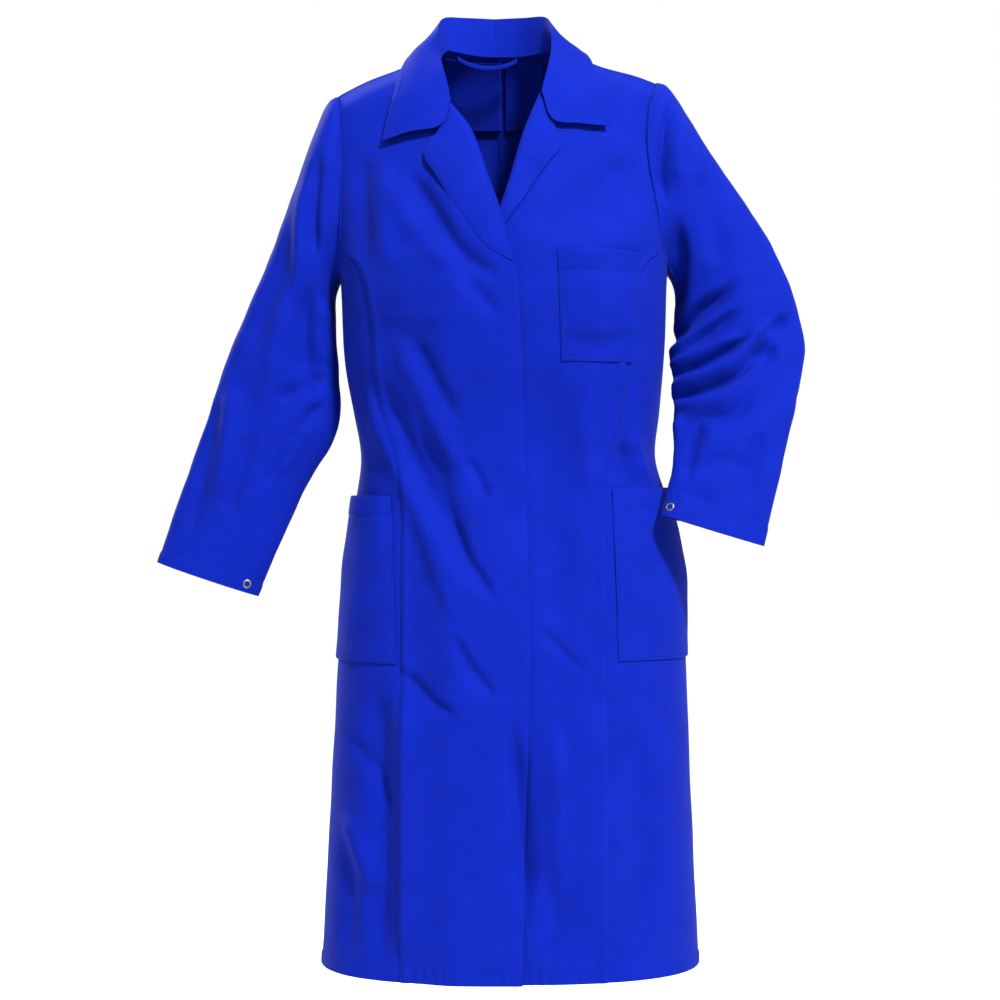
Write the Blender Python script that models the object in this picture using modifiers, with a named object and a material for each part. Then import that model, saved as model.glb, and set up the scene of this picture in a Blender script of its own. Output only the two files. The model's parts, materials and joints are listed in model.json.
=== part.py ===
"""A women's laboratory coat, built as the separate pieces it is sewn from.

Metres, +Z up, the front faces -Y and +X is the wearer's left. The origin is the middle of the hanging loop at
the back neck seam. Pieces are drawn from the coat's own centre line, which LOOP_OFFSET shifts off the loop.
A turn is the angle round the body of the coat: 0 is the centre front, half a turn is the centre back, and
it is negative on the wearer's right. A lift is a height above the outside of the coat's main cloth.
"""

import math

import bmesh
import bpy
from mathutils import Matrix, Vector

# Driving dimensions
LOOP_OFFSET = 0.018
CLOTH = 0.0014
THIN_CLOTH = 0.0010
SEAM_GAP = 0.0005
SIDE_GAP = 0.0028
SHOULDER_ROWS, SIDE_ROWS = 8, 14
UPPER_ROWS, BACK_ROWS = SHOULDER_ROWS + 5, SHOULDER_ROWS + SIDE_ROWS
ROUNDNESS = 2.5
HEM_Z = -1.032
UNDERARM_Z = -0.251
WAIST_SPLIT_Z = -0.455
HINGE_X = 0.113
OVERLAP = 0.046
RIGHT, LEFT = -1, 1
WORD = {RIGHT: "right", LEFT: "left"}

# The body of the coat: heights, and what it measures there
SHOULDER = ((-0.235, -0.092), (-0.191, -0.062), (-0.110, -0.0215), (-0.072, -0.002), (0.0, 0.022),
            (0.072, -0.004), (0.100, -0.0175), (0.178, -0.0475), (0.225, -0.070))
HALF_WIDTH = {
    RIGHT: ((0.03, 0.235), (-0.06, 0.222), (-0.15, 0.204), (-0.25, 0.186), (-0.36, 0.1785), (-0.42, 0.168),
            (-0.47, 0.160), (-0.52, 0.167), (-0.60, 0.178), (-0.70, 0.186), (-0.86, 0.194), (-1.06, 0.205)),
    LEFT: ((0.03, 0.225), (-0.06, 0.212), (-0.15, 0.198), (-0.25, 0.187), (-0.36, 0.181), (-0.42, 0.176),
           (-0.47, 0.172), (-0.52, 0.186), (-0.60, 0.203), (-0.70, 0.206), (-0.86, 0.212), (-1.06, 0.221)),
}
FRONT_Y = ((0.022, -0.0432), (0.0, -0.080), (-0.05, -0.113), (-0.12, -0.150), (-0.20, -0.178), (-0.28, -0.190),
           (-0.36, -0.186), (-0.47, -0.174), (-0.60, -0.188), (-0.75, -0.200), (-1.06, -0.216))
BACK_Y = ((0.022, -0.0408), (0.0, 0.0), (-0.05, 0.030), (-0.12, 0.052), (-0.25, 0.062), (-0.36, 0.050),
          (-0.47, 0.038), (-0.60, 0.062), (-0.75, 0.076), (-1.06, 0.086))
SIDE_Y = ((0.022, -0.042), (-0.25, -0.055), (-0.5, -0.065), (-1.06, -0.065))
SHOULDER_TOP = 0.022
SHOULDER_FADE = (-0.12, -0.32)

# Edges and seams on it: height, and distance from the centre line
ARMHOLE = {
    RIGHT: ((-0.055, 0.191), (-0.11, 0.189), (-0.15, 0.186), (-0.20, 0.184), (-0.25, 0.183)),
    LEFT: ((-0.045, 0.179), (-0.082, 0.167), (-0.13, 0.165), (-0.18, 0.172), (-0.25, 0.183)),
}
FRONT_SEAM = {
    RIGHT: ((-0.236, 0.181), (-0.262, 0.160), (-0.31, 0.147), (-0.37, 0.1435), (-0.455, 0.133)),
    LEFT: ((-0.236, 0.179), (-0.262, 0.156), (-0.31, 0.142), (-0.37, 0.1365), (-0.455, 0.135)),
}
BACK_SEAM = ((-0.236, 0.178), (-0.262, 0.158), (-0.30, 0.142), (-0.47, 0.118), (-0.70, 0.125), (-1.06, 0.135))
SEAM_ROWS = (-0.236, -0.262, -0.295, -0.340, -0.395, -0.455, -0.459)
ROLL_LINE = {
    RIGHT: ((-0.0758, -0.0575), (-0.109, -0.0345), (-0.165, -0.016), (-0.2105, -0.001), (-0.2608, 0.0125)),
    LEFT: ((-0.0665, 0.0395), (-0.1145, 0.0215), (-0.1707, 0.0055), (-0.215, -0.010), (-0.2608, -0.0315)),
}
NECK_SIDE = {
    RIGHT: ((-0.002, -0.0715), (-0.040, -0.0705), (-0.0758, -0.0575)),
    LEFT: ((-0.004, 0.0720), (-0.035, 0.0600), (-0.0665, 0.0395)),
}
RIGHT_EDGE = ((-0.2608, 0.0135), (-0.325, 0.0183), (-0.404, 0.0215), (-0.548, 0.0258), (-0.681, 0.0287),
              (-0.776, 0.0265), (-0.870, 0.0235), (-1.06, 0.0200))
NECK_CENTRE_X = -0.010
COLLAR_LIFT = 0.0078

# The closed right front stands off the left one, so that the fly and its snaps fit between them
FLY_LIFT = 0.0082
FLY_LIFT_RANGE = (-0.095, -0.050)
FLY_WIDTH = 0.058
FLY_SPLIT_GAP = 0.005
SPLIT_GAP = {RIGHT: SEAM_GAP, LEFT: 0.0022}
FLY_STRIP_LIFT = 0.0058
FACING_LIFT = -0.0034
NECK_FACING_LIFT = -0.0052
FACING_WIDTH = 0.060
SNAP_HEIGHTS = (-0.278, -0.397, -0.515, -0.634, -0.752)
SNAP_FROM_EDGE = 0.024

# Sleeves: outer and inner edge as (x, z) from the centre line, the middle's y, and half the depth
SLEEVE = {
    RIGHT: (
        ((-0.191, -0.062), (-0.186, -0.252), -0.048, 0.060),
        ((-0.224, -0.130), (-0.190, -0.288), -0.050, 0.052),
        ((-0.257, -0.220), (-0.189, -0.334), -0.056, 0.042),
        ((-0.291, -0.305), (-0.185, -0.380), -0.062, 0.034),
        ((-0.318, -0.375), (-0.188, -0.440), -0.066, 0.031),
        ((-0.352, -0.476), (-0.229, -0.514), -0.070, 0.027),
        ((-0.389, -0.586), (-0.276, -0.624), -0.074, 0.022),
    ),
    LEFT: (
        ((0.179, -0.050), (0.186, -0.252), -0.048, 0.060),
        ((0.223, -0.106), (0.191, -0.286), -0.052, 0.052),
        ((0.267, -0.169), (0.191, -0.314), -0.058, 0.044),
        ((0.312, -0.246), (0.190, -0.345), -0.066, 0.036),
        ((0.337, -0.330), (0.190, -0.370), -0.082, 0.033),
        ((0.331, -0.385), (0.190, -0.405), -0.100, 0.031),
        ((0.314, -0.450), (0.190, -0.458), -0.124, 0.028),
        ((0.283, -0.566), (0.172, -0.532), -0.162, 0.020),
    ),
}
SLEEVE_CUTS = {RIGHT: (0.0, 1.0, 3.0, 4.0, 6.0), LEFT: (0.0, 1.0, 3.0, 5.0, 7.0)}
SLEEVE_SIDES = 16
SLEEVE_OFF_ARMHOLE = (0.0036, -0.0010)
CUFF_SNAP_TURN = {RIGHT: math.radians(138), LEFT: math.radians(152)}
CUFF_SNAP_UP = 0.010
UNDERLAP_REACH = math.radians(18)
UNDERLAP_LENGTH = 0.045
UNDERLAP_DEPTH = 0.0064

# Patch pockets: the heights of mouth and foot, and the x of their edges
CHEST_POCKET_Z, CHEST_POCKET_FIRST_X, CHEST_POCKET_LAST_X = (-0.2465, -0.3660), (0.0585, 0.0625), 0.1480
HIP_POCKET_Z = {RIGHT: (-0.5120, -0.6930), LEFT: (-0.5040, -0.6900)}
HIP_POCKET_X = {RIGHT: (0.1220, 0.1150), LEFT: (0.1185, 0.1245)}
HIP_POCKET_BACK = math.pi / 2 - 0.03
POCKET_LIFT = 0.0024
POCKET_GAPE = 0.0110

# A lapel's lift, and its outer edge as (x, z), from the gorge to the roll line's end
LAPEL = {
    RIGHT: (0.0106, ((-0.0676, -0.1090), (-0.0850, -0.1370), (-0.0738, -0.1613), (-0.0431, -0.2130),
                     (-0.0200, -0.2440), (0.0080, -0.2600))),
    LEFT: (0.0036, ((0.0540, -0.1020), (0.0640, -0.1260), (0.0480, -0.1500), (0.0360, -0.1670),
                    (0.0100, -0.2080), (-0.0270, -0.2590))),
}
LAPEL_TOP_LIFT = 0.0045
LAPEL_CLOTH = 0.0018

# Turned profiles, as (radius, height): down the outer side. A stud's boss goes up into a socket's hole.
STUD = ((0.0, 0.0020), (0.0017, 0.0018), (0.0017, 0.0008), (0.0050, 0.0006), (0.0050, 0.0), (0.0, 0.0))
SOCKET = ((0.0030, 0.0016), (0.0048, 0.0016), (0.0052, 0.0003), (0.0048, 0.0), (0.0026, 0.0), (0.0024, 0.0008))
RING = ((0.0030, 0.0007), (0.0042, 0.0010), (0.0051, 0.0006), (0.0050, 0.0), (0.0028, 0.0))
TURNED_STEPS = 12
FLY_STUD_LIFT, FLY_SOCKET_LIFT = 0.0013, 0.0024
CUFF_RING_LIFT, CUFF_SOCKET_LIFT, CUFF_STUD_LIFT, CUFF_BACK_RING_LIFT = 0.0006, -0.0044, -0.0056, -0.0080

# The hanging loop
LOOP_HALF_WIDTH, LOOP_SAG, LOOP_TAPE, LOOP_CLOTH = 0.034, 0.0105, 0.0055, 0.0008
LOOP_OFF_FACING = 0.0095

# Where the moving pieces turn, from the centre line
SHOULDER_PIVOT = {RIGHT: (-0.172, -0.045, -0.075), LEFT: (0.160, -0.045, -0.065)}
ELBOW_PIVOT = {RIGHT: (-0.245, -0.064, -0.375), LEFT: (0.264, -0.091, -0.366)}
FRONT_PIVOT_Y = {RIGHT: -0.1564, LEFT: -0.1617}
LOOP_PIVOT = (-LOOP_OFFSET, -0.0161, -0.005)

ROYAL_BLUE = (0.010, 0.028, 0.560)
ANTIQUE_BRASS = (0.190, 0.175, 0.130)

parts = bpy.data.collections.new("lab_coat")


def main():
    for leftover in list(bpy.data.objects):
        bpy.data.objects.remove(leftover)
    bpy.context.scene.collection.children.link(parts)
    cloth = make_material("coat_cloth", ROYAL_BLUE, 0.85, 0.0)
    metal = make_material("snap_metal", ANTIQUE_BRASS, 0.40, 1.0)
    bodies = make_bodies()
    make_back_and_sides(bodies, cloth)
    for side in (RIGHT, LEFT):
        make_front(bodies, cloth, side)
        make_lapel(bodies, cloth, side)
        make_sleeve(bodies, cloth, side)
        make_cuff_snap(bodies, cloth, metal, side)
        make_hip_pocket(bodies, cloth, side)
    make_fly(bodies, cloth, metal)
    make_chest_pocket(bodies, cloth)
    make_collar(bodies, cloth)
    make_hanging_loop(bodies, cloth)


def make_material(name, colour, roughness, metallic):
    material = bpy.data.materials.new(name)
    material.use_nodes = True
    shader = material.node_tree.nodes["Principled BSDF"]
    shader.inputs["Base Color"].default_value = (*colour, 1.0)
    shader.inputs["Roughness"].default_value = roughness
    shader.inputs["Metallic"].default_value = metallic
    material.diffuse_color = (*colour, 1.0)
    return material


def make_bodies():
    """An empty for each body that moves, on its joint's axis, under one empty for the coat."""
    places = {"coat": (0, 0, 0), "loop": LOOP_PIVOT}
    for side, word in WORD.items():
        places[f"{word}_arm"] = SHOULDER_PIVOT[side]
        places[f"{word}_forearm"] = ELBOW_PIVOT[side]
        places[f"{word}_front"] = (side * HINGE_X, FRONT_PIVOT_Y[side], WAIST_SPLIT_Z)
    parents = {"right_forearm": "right_arm", "left_forearm": "left_arm"}
    bodies = {}
    for name, place in places.items():
        empty = bpy.data.objects.new(f"{name}_body", None)
        parts.objects.link(empty)
        parent = parents.get(name, "coat")
        if name == "coat":
            empty.location.x = LOOP_OFFSET
        else:
            empty.parent = bodies[parent]
            empty.location = Vector(place) - (Vector(places[parent]) if parent != "coat" else Vector())
        bodies[name] = empty
        empty["pivot"] = place
    return bodies


def along(points, at):
    """The value at a place on a smooth line through (place, value) points, level past its ends."""
    if points[0][0] > points[-1][0]:
        points = points[::-1]
    at = min(max(at, points[0][0]), points[-1][0])
    last = len(points) - 1
    k = max(i for i in range(last) if points[i][0] <= at)
    gap = points[k + 1][0] - points[k][0]

    def slope(i):
        a, b = points[max(i - 1, 0)], points[min(i + 1, last)]
        return (b[1] - a[1]) / (b[0] - a[0])

    t = (at - points[k][0]) / gap
    return (
        points[k][1] * (1 + 2 * t) * (1 - t) ** 2
        + slope(k) * (gap * t * (1 - t) ** 2)
        + points[k + 1][1] * (t * t * (3 - 2 * t))
        - slope(k + 1) * (gap * t * t * (1 - t))
    )


def ease(start, end, at):
    """0 before start and 1 after end, smooth between."""
    t = min(max((at - start) / (end - start), 0.0), 1.0)
    return t * t * (3 - 2 * t)


def smooth_path(points):
    """A function from 0..1 to a smooth line through points, spaced by their distances."""
    points = [Vector(p) for p in points]
    places = [0.0]
    for a, b in zip(points, points[1:]):
        places.append(places[-1] + (b - a).length)
    line = tuple((place / places[-1], point) for place, point in zip(places, points))
    return lambda t: along(line, t)


def skin(turn, z):
    """The point on the outside of the coat's body at a turn and a height."""
    side = LEFT if turn >= 0 else RIGHT
    across = abs(math.sin(turn)) ** (2 / ROUNDNESS) * along(HALF_WIDTH[side], z)
    x = side * across
    drop = SHOULDER_TOP - along(SHOULDER, x)
    height = z + drop * (1 - ease(SHOULDER_FADE[0], SHOULDER_FADE[1], z))
    middle = along(SIDE_Y, height)
    face = along(FRONT_Y if math.cos(turn) >= 0 else BACK_Y, height)
    y = middle + (face - middle) * abs(math.cos(turn)) ** (2 / ROUNDNESS)
    return Vector((x, y, z))


def outward(turn, z):
    """The outward direction of the coat's body at a turn and a height."""
    step = 0.004
    across = skin(turn + step, z) - skin(turn - step, z)
    up = skin(turn, z + step) - skin(turn, z - step)
    return across.cross(up).normalized()


def lifted(turn, z, lift):
    return skin(turn, z) + outward(turn, z) * lift


def front_turn(x, z):
    """The turn of the front of the coat's body at x."""
    side = LEFT if x >= 0 else RIGHT
    share = min(abs(x) / along(HALF_WIDTH[side], z), 1.0)
    return side * math.asin(share ** (ROUNDNESS / 2))


def back_turn(x, z):
    """The turn of the back of the coat's body at x."""
    turn = front_turn(x, z)
    return (math.pi if turn >= 0 else -math.pi) - turn


def on_front(x, z, lift=0.0):
    return lifted(front_turn(x, z), z, lift)


def on_back(x, z, lift=0.0):
    return lifted(back_turn(x, z), z, lift)


def finish_piece(bm, name, material, body, thickness, away_from):
    """Makes the open surface in bm a piece of cloth of one thickness, its outside where bm lies."""
    bm.normal_update()
    centres = [f.calc_center_median() for f in bm.faces]
    if sum(f.normal.dot(centre - away_from(centre)) for f, centre in zip(bm.faces, centres)) < 0:
        bmesh.ops.reverse_faces(bm, faces=bm.faces[:])
    piece = add_object(bm, name, material, body)
    shell = piece.modifiers.new("thickness", "SOLIDIFY")
    shell.thickness = thickness
    shell.offset = -1.0
    shell.use_even_offset = True
    return piece


def add_object(bm, name, material, body, place=None):
    """Puts bm, drawn from the centre line, on a body; place is where its own origin goes."""
    mesh = bpy.data.meshes.new(name)
    bm.to_mesh(mesh)
    bm.free()
    mesh.materials.append(material)
    piece = bpy.data.objects.new(name, mesh)
    parts.objects.link(piece)
    piece.parent = body
    pivot = Vector(body["pivot"])
    if place is None:
        mesh.transform(Matrix.Translation(-pivot))
    else:
        piece.matrix_local = Matrix.Translation(-pivot) @ place
    return piece


def body_axis(point):
    """The middle of the coat's body at a point's height, from which its cloth faces away."""
    return Vector((0.0, -0.06, point.z - 0.02))


def make_panel(name, material, body, columns, rows, place, thickness=CLOTH, away_from=body_axis):
    """A cut piece: a grid whose point at (s, t), both 0..1, place() puts in space."""
    bm = bmesh.new()
    bmesh.ops.create_grid(bm, x_segments=columns, y_segments=rows, size=0.5)
    for v in bm.verts:
        v.co = place(v.co.x + 0.5, v.co.y + 0.5)
    return finish_piece(bm, name, material, body, thickness, away_from)


def mix(a, b, t):
    return a + (b - a) * t


def shoulder_rows(top, t, rows, bottom):
    """A row's height: closer rows at the top, where the cloth bends over the shoulder, then the seams' own
    rows, so that neighbouring pieces have their rows at the same heights, then even ones to the bottom."""
    row, over, below = round(t * rows), SHOULDER_ROWS, SHOULDER_ROWS + len(SEAM_ROWS) - 1
    if row <= over:
        return mix(top, SEAM_ROWS[0], (row / over) ** 1.5)
    if row <= below:
        return SEAM_ROWS[row - over]
    return mix(SEAM_ROWS[-1], bottom, (row - below) / (rows - below))


def make_back_and_sides(bodies, cloth):
    coat = bodies["coat"]
    for side, word in WORD.items():

        def back(s, t, side=side):
            z = -0.25
            for _ in range(6):
                reach = back_reach(side, z)
                x = side * mix(SEAM_GAP / 2, reach, s)
                z = shoulder_rows(min(along(SHOULDER, x), -0.001) - SEAM_GAP / 2, t, BACK_ROWS, HEM_Z)
            return on_back(x, z)

        make_panel(f"back_{word}", cloth, coat, 7, BACK_ROWS, back)

        def side_panel(s, t, side=side):
            row = round(t * SIDE_ROWS)
            z = mix(UNDERARM_Z, SEAM_ROWS[0] - 0.004, abs(2 * s - 1) ** 2)
            if row > 0:
                z = shoulder_rows(z, (row + SHOULDER_ROWS) / BACK_ROWS, BACK_ROWS, HEM_Z)
            front = front_turn(side * (side_reach(side, z) + SIDE_GAP), z)
            back = back_turn(side * (along(BACK_SEAM, z) + SIDE_GAP), z)
            return skin(mix(front, back, s), z)

        make_panel(f"side_{word}", cloth, coat, 10, SIDE_ROWS, side_panel)

    def neck_facing(s, t):
        x = mix(-0.068, 0.048, s)
        return on_back(x, mix(-0.006, -0.080, t), NECK_FACING_LIFT)

    make_panel("back_neck_facing", cloth, coat, 8, 6, neck_facing, THIN_CLOTH)


def back_reach(side, z):
    """How far from the centre line a back panel reaches: to the armhole, and below it to the back seam."""
    if z > UNDERARM_Z + 0.015:
        return along(ARMHOLE[side], z) - SEAM_GAP
    return along(BACK_SEAM, z) - SEAM_GAP


def front_reach(side, z):
    """How far from the centre line an upper front reaches: to the armhole, and below it to its seam."""
    if z > UNDERARM_Z + 0.015:
        return along(ARMHOLE[side], z) - SEAM_GAP
    return along(FRONT_SEAM[side], z) - SEAM_GAP


def side_reach(side, z):
    """Where a side panel starts: at the princess seam, and below the waist at the line its front turns on."""
    return mix(along(FRONT_SEAM[side], z), HINGE_X + 0.001, ease(SEAM_ROWS[-2], SEAM_ROWS[-1], z))


def front_edge(side, z):
    """The x of a front's own edge: at the neck, then along the roll line, then down the overlap."""
    if z > NECK_SIDE[side][-1][0]:
        return along(NECK_SIDE[side], z)
    if z > RIGHT_EDGE[0][0]:
        return along(ROLL_LINE[side], z)
    return along(RIGHT_EDGE, z) - (OVERLAP if side == LEFT else 0.0)


def front_lift(side, x, z):
    """The right front stands off the left one where they overlap, from a little above the roll line's end."""
    if side == LEFT:
        return 0.0
    return FLY_LIFT * ease(FLY_LIFT_RANGE[0], FLY_LIFT_RANGE[1], x) * ease(-0.12, -0.19, z)


def make_front(bodies, cloth, side):
    def upper(s, t):
        z = -0.2
        for _ in range(8):
            x = mix(front_edge(side, z), side * front_reach(side, z), s)
            top = along(SHOULDER, x) - SEAM_GAP / 2 if abs(x) > 0.0705 else NECK_SIDE[side][0][0] - SEAM_GAP
            z = shoulder_rows(top, t, UPPER_ROWS, 0.0) + (SEAM_GAP if t == 1.0 else 0.0)
        return on_front(x, z, front_lift(side, x, z))

    make_panel(f"front_{WORD[side]}_upper", cloth, bodies["coat"], 9, UPPER_ROWS, upper)

    def lower(s, t):
        z = mix(WAIST_SPLIT_Z - SPLIT_GAP[side], HEM_Z, t)
        x = mix(front_edge(side, z), side * (HINGE_X - SEAM_GAP), s)
        return on_front(x, z, front_lift(side, x, z))

    make_panel(f"front_{WORD[side]}_lower", cloth, bodies[f"{WORD[side]}_front"], 6, 8, lower)


def make_lapel(bodies, cloth, side):
    """The top of a front, folded back on itself along its roll line. It hides its facing's outside."""
    lift, outer = LAPEL[side]
    edge = smooth_path([(x, z, 0) for x, z in outer])
    fold_top, fold_end = ROLL_LINE[side][0][0], ROLL_LINE[side][-1][0]

    def lapel(s, t):
        fold_z = mix(fold_top - 0.001, fold_end + 0.002, t)
        fold = Vector((front_edge(side, fold_z), fold_z, 0))
        x, z, _ = mix(fold, edge(t), 0.04 + 0.96 * s)
        rise = mix(LAPEL_TOP_LIFT, lift, ease(-0.10, -0.18, z)) if side == RIGHT else lift
        return on_front(x, z, rise)

    make_panel(f"lapel_{WORD[side]}", cloth, bodies["coat"], 5, 9, lapel, LAPEL_CLOTH)


def make_fly(bodies, cloth, metal):
    """The strip behind the right front that hides the snaps, the left front's facing, and the snaps."""
    spans = (
        ("upper", bodies["coat"], bodies["coat"], RIGHT_EDGE[0][0] - 0.004, WAIST_SPLIT_Z + 0.001),
        ("lower", bodies["right_front"], bodies["left_front"], WAIST_SPLIT_Z - FLY_SPLIT_GAP, HEM_Z + 0.004),
    )
    for word, right_body, left_body, top, bottom in spans:

        def strip(s, t, top=top, bottom=bottom):
            z = mix(top, bottom, t)
            edge = front_edge(RIGHT, z)
            return on_front(mix(edge - 0.004, edge - FLY_WIDTH, s), z, FLY_STRIP_LIFT)

        def facing(s, t, top=top, bottom=bottom):
            z = mix(top, bottom, t)
            edge = front_edge(LEFT, z)
            return on_front(mix(edge + 0.001, edge + FACING_WIDTH, s), z, FACING_LIFT)

        make_panel(f"fly_strip_{word}", cloth, right_body, 3, 8, strip, THIN_CLOTH)
        make_panel(f"facing_left_{word}", cloth, left_body, 3, 8, facing, THIN_CLOTH)
    for number, z in enumerate(SNAP_HEIGHTS, 1):
        turn = front_turn(front_edge(RIGHT, z) - SNAP_FROM_EDGE, z)
        above = z > WAIST_SPLIT_Z
        stud_body = bodies["coat" if above else "left_front"]
        socket_body = bodies["coat" if above else "right_front"]
        out = outward(turn, z)
        make_turned(f"fly_stud_{number}", metal, stud_body, STUD, lifted(turn, z, FLY_STUD_LIFT), out)
        make_turned(f"fly_socket_{number}", metal, socket_body, SOCKET, lifted(turn, z, FLY_SOCKET_LIFT), out)


def make_turned(name, metal, body, profile, foot, out):
    """A turned metal piece that stands on foot, pointing out. A profile that leaves the axis is a ring."""
    bm = bmesh.new()
    verts = [bm.verts.new((r, 0, h)) for r, h in profile]
    for a, b in zip(verts, verts[1:]):
        bm.edges.new((a, b))
    if profile[0][0] > 0:
        bm.edges.new((verts[-1], verts[0]))
    place = Matrix.Translation(foot) @ out.to_track_quat("Z", "Y").to_matrix().to_4x4()
    piece = add_object(bm, name, metal, body, place)
    turning = piece.modifiers.new("turning", "SCREW")
    turning.steps = turning.render_steps = TURNED_STEPS
    turning.use_merge_vertices = True
    turning.merge_threshold = 0.00001
    return piece


def sleeve_ring(side, place, turn, lift=0.0):
    """A point on a sleeve: place counts its stations, and turn goes from its outer edge over the front."""
    stations = SLEEVE[side]
    line = [tuple((k, Vector(p)) for k, p in enumerate(values)) for values in (
        [s[0] for s in stations], [s[1] for s in stations], [(s[2], s[3]) for s in stations])]
    outer, inner, (y, depth) = (along(values, place) for values in line)
    middle, half = (outer + inner) / 2, (outer - inner) / 2
    reach = 1 + lift / max(half.length, depth)
    across = half * (math.cos(turn) * reach)
    point = Vector((middle.x + across.x, y - depth * math.sin(turn) * (1 + lift / depth), middle.y + across.y))
    if place < 1:
        point = mix(armhole_point(side, turn), point, ease(0, 1, place))
    return point


def armhole_point(side, turn):
    """A point on the armhole: turn goes from the shoulder's tip, down the front to the underarm."""
    top, bottom = along(SHOULDER, side * along(ARMHOLE[side], -0.06)), UNDERARM_Z
    z = mix(bottom, top, (1 + math.cos(turn)) / 2)
    x = side * (along(ARMHOLE[side], z) + 2 * SEAM_GAP)
    point = on_front(x, z) if math.sin(turn) > -1e-6 else on_back(x, z)
    return point + Vector((side * SLEEVE_OFF_ARMHOLE[0], 0, SLEEVE_OFF_ARMHOLE[1]))


def make_sleeve(bodies, cloth, side):
    word, cuts = WORD[side], SLEEVE_CUTS[side]
    coat, arm, forearm = bodies["coat"], bodies[f"{word}_arm"], bodies[f"{word}_forearm"]
    stretches = (("head", coat, 3), ("upper", arm, 4), ("elbow", arm, 3), ("lower", forearm, 5))
    for number, (part, body, rows) in enumerate(stretches):
        start, end = cuts[number] + 0.03, cuts[number + 1] - (0.03 if part != "lower" else 0.0)
        bm = bmesh.new()
        bmesh.ops.create_grid(bm, x_segments=SLEEVE_SIDES, y_segments=rows, size=0.5)
        for v in bm.verts:
            v.co = sleeve_ring(side, mix(start, end, v.co.y + 0.5), 2 * math.pi * (v.co.x + 0.5))
        bmesh.ops.remove_doubles(bm, verts=bm.verts[:], dist=0.00001)

        def core(point, start=start, end=end):
            places = [mix(start, end, step / 8) for step in range(9)]
            rings = [(sleeve_ring(side, place, 0) + sleeve_ring(side, place, math.pi)) / 2 for place in places]
            return min(rings, key=lambda ring: (ring - point).length)

        finish_piece(bm, f"sleeve_{word}_{part}", cloth, body, CLOTH, core)


def cuff_frame(side, turn, up):
    """The point on the outside of a cuff at a turn, up from its hem, and the outward direction there."""
    end = SLEEVE_CUTS[side][-1]
    last, before = SLEEVE[side][-1], SLEEVE[side][-2]
    station = (Vector(last[1]) - Vector(before[1])).length
    place = end - up / station
    point = sleeve_ring(side, place, turn)
    round_it = sleeve_ring(side, place, turn + 0.05) - sleeve_ring(side, place, turn - 0.05)
    down_it = sleeve_ring(side, place, turn) - sleeve_ring(side, place - 0.05, turn)
    out = round_it.cross(down_it).normalized()
    middle = (sleeve_ring(side, place, 0) + sleeve_ring(side, place, math.pi)) / 2
    return point, out if out.dot(point - middle) > 0 else -out


def make_cuff_snap(bodies, cloth, metal, side):
    """A cuff's vent: the ring seen outside, its socket, and the stud and ring on the underlap inside."""
    word = WORD[side]
    forearm = bodies[f"{word}_forearm"]
    point, out = cuff_frame(side, CUFF_SNAP_TURN[side], CUFF_SNAP_UP)
    make_turned(f"cuff_{word}_ring", metal, forearm, RING, point + out * CUFF_RING_LIFT, out)
    make_turned(f"cuff_{word}_socket", metal, forearm, SOCKET, point + out * CUFF_SOCKET_LIFT, out)
    make_turned(f"cuff_{word}_stud", metal, forearm, STUD, point + out * CUFF_STUD_LIFT, out)
    make_turned(f"cuff_{word}_back_ring", metal, forearm, RING, point + out * CUFF_BACK_RING_LIFT, -out)

    def underlap(s, t):
        up = mix(0.001, UNDERLAP_LENGTH, t)
        turn = CUFF_SNAP_TURN[side] + mix(-UNDERLAP_REACH, UNDERLAP_REACH, s)
        return cuff_frame(side, turn, up)[0] - out * UNDERLAP_DEPTH

    make_panel(f"cuff_{word}_underlap", cloth, forearm, 3, 3, underlap, 0.0008, lambda p: p - out)


def pocket_rise(s, t, gape):
    """How far a patch pocket stands off what it is sewn to: least along its seams, and most at its mouth."""
    seam = min(ease(0.0, 0.16, s), ease(1.0, 0.84, s))
    return POCKET_LIFT + gape * seam * (1 - t) ** 0.8


def make_chest_pocket(bodies, cloth):
    def pocket(s, t):
        z = mix(*CHEST_POCKET_Z, t)
        x = mix(mix(*CHEST_POCKET_FIRST_X, t), CHEST_POCKET_LAST_X, s)
        return on_front(x, z, pocket_rise(s, t, POCKET_GAPE))

    make_panel("chest_pocket", cloth, bodies["coat"], 12, 6, pocket, THIN_CLOTH)


def make_hip_pocket(bodies, cloth, side):
    def pocket(s, t):
        z = mix(*HIP_POCKET_Z[side], t)
        first = front_turn(side * mix(*HIP_POCKET_X[side], t), z)
        return lifted(mix(first, side * HIP_POCKET_BACK, s), z, pocket_rise(s, t, POCKET_GAPE))

    make_panel(f"hip_pocket_{WORD[side]}", cloth, bodies["coat"], 14, 6, pocket, THIN_CLOTH)


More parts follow.
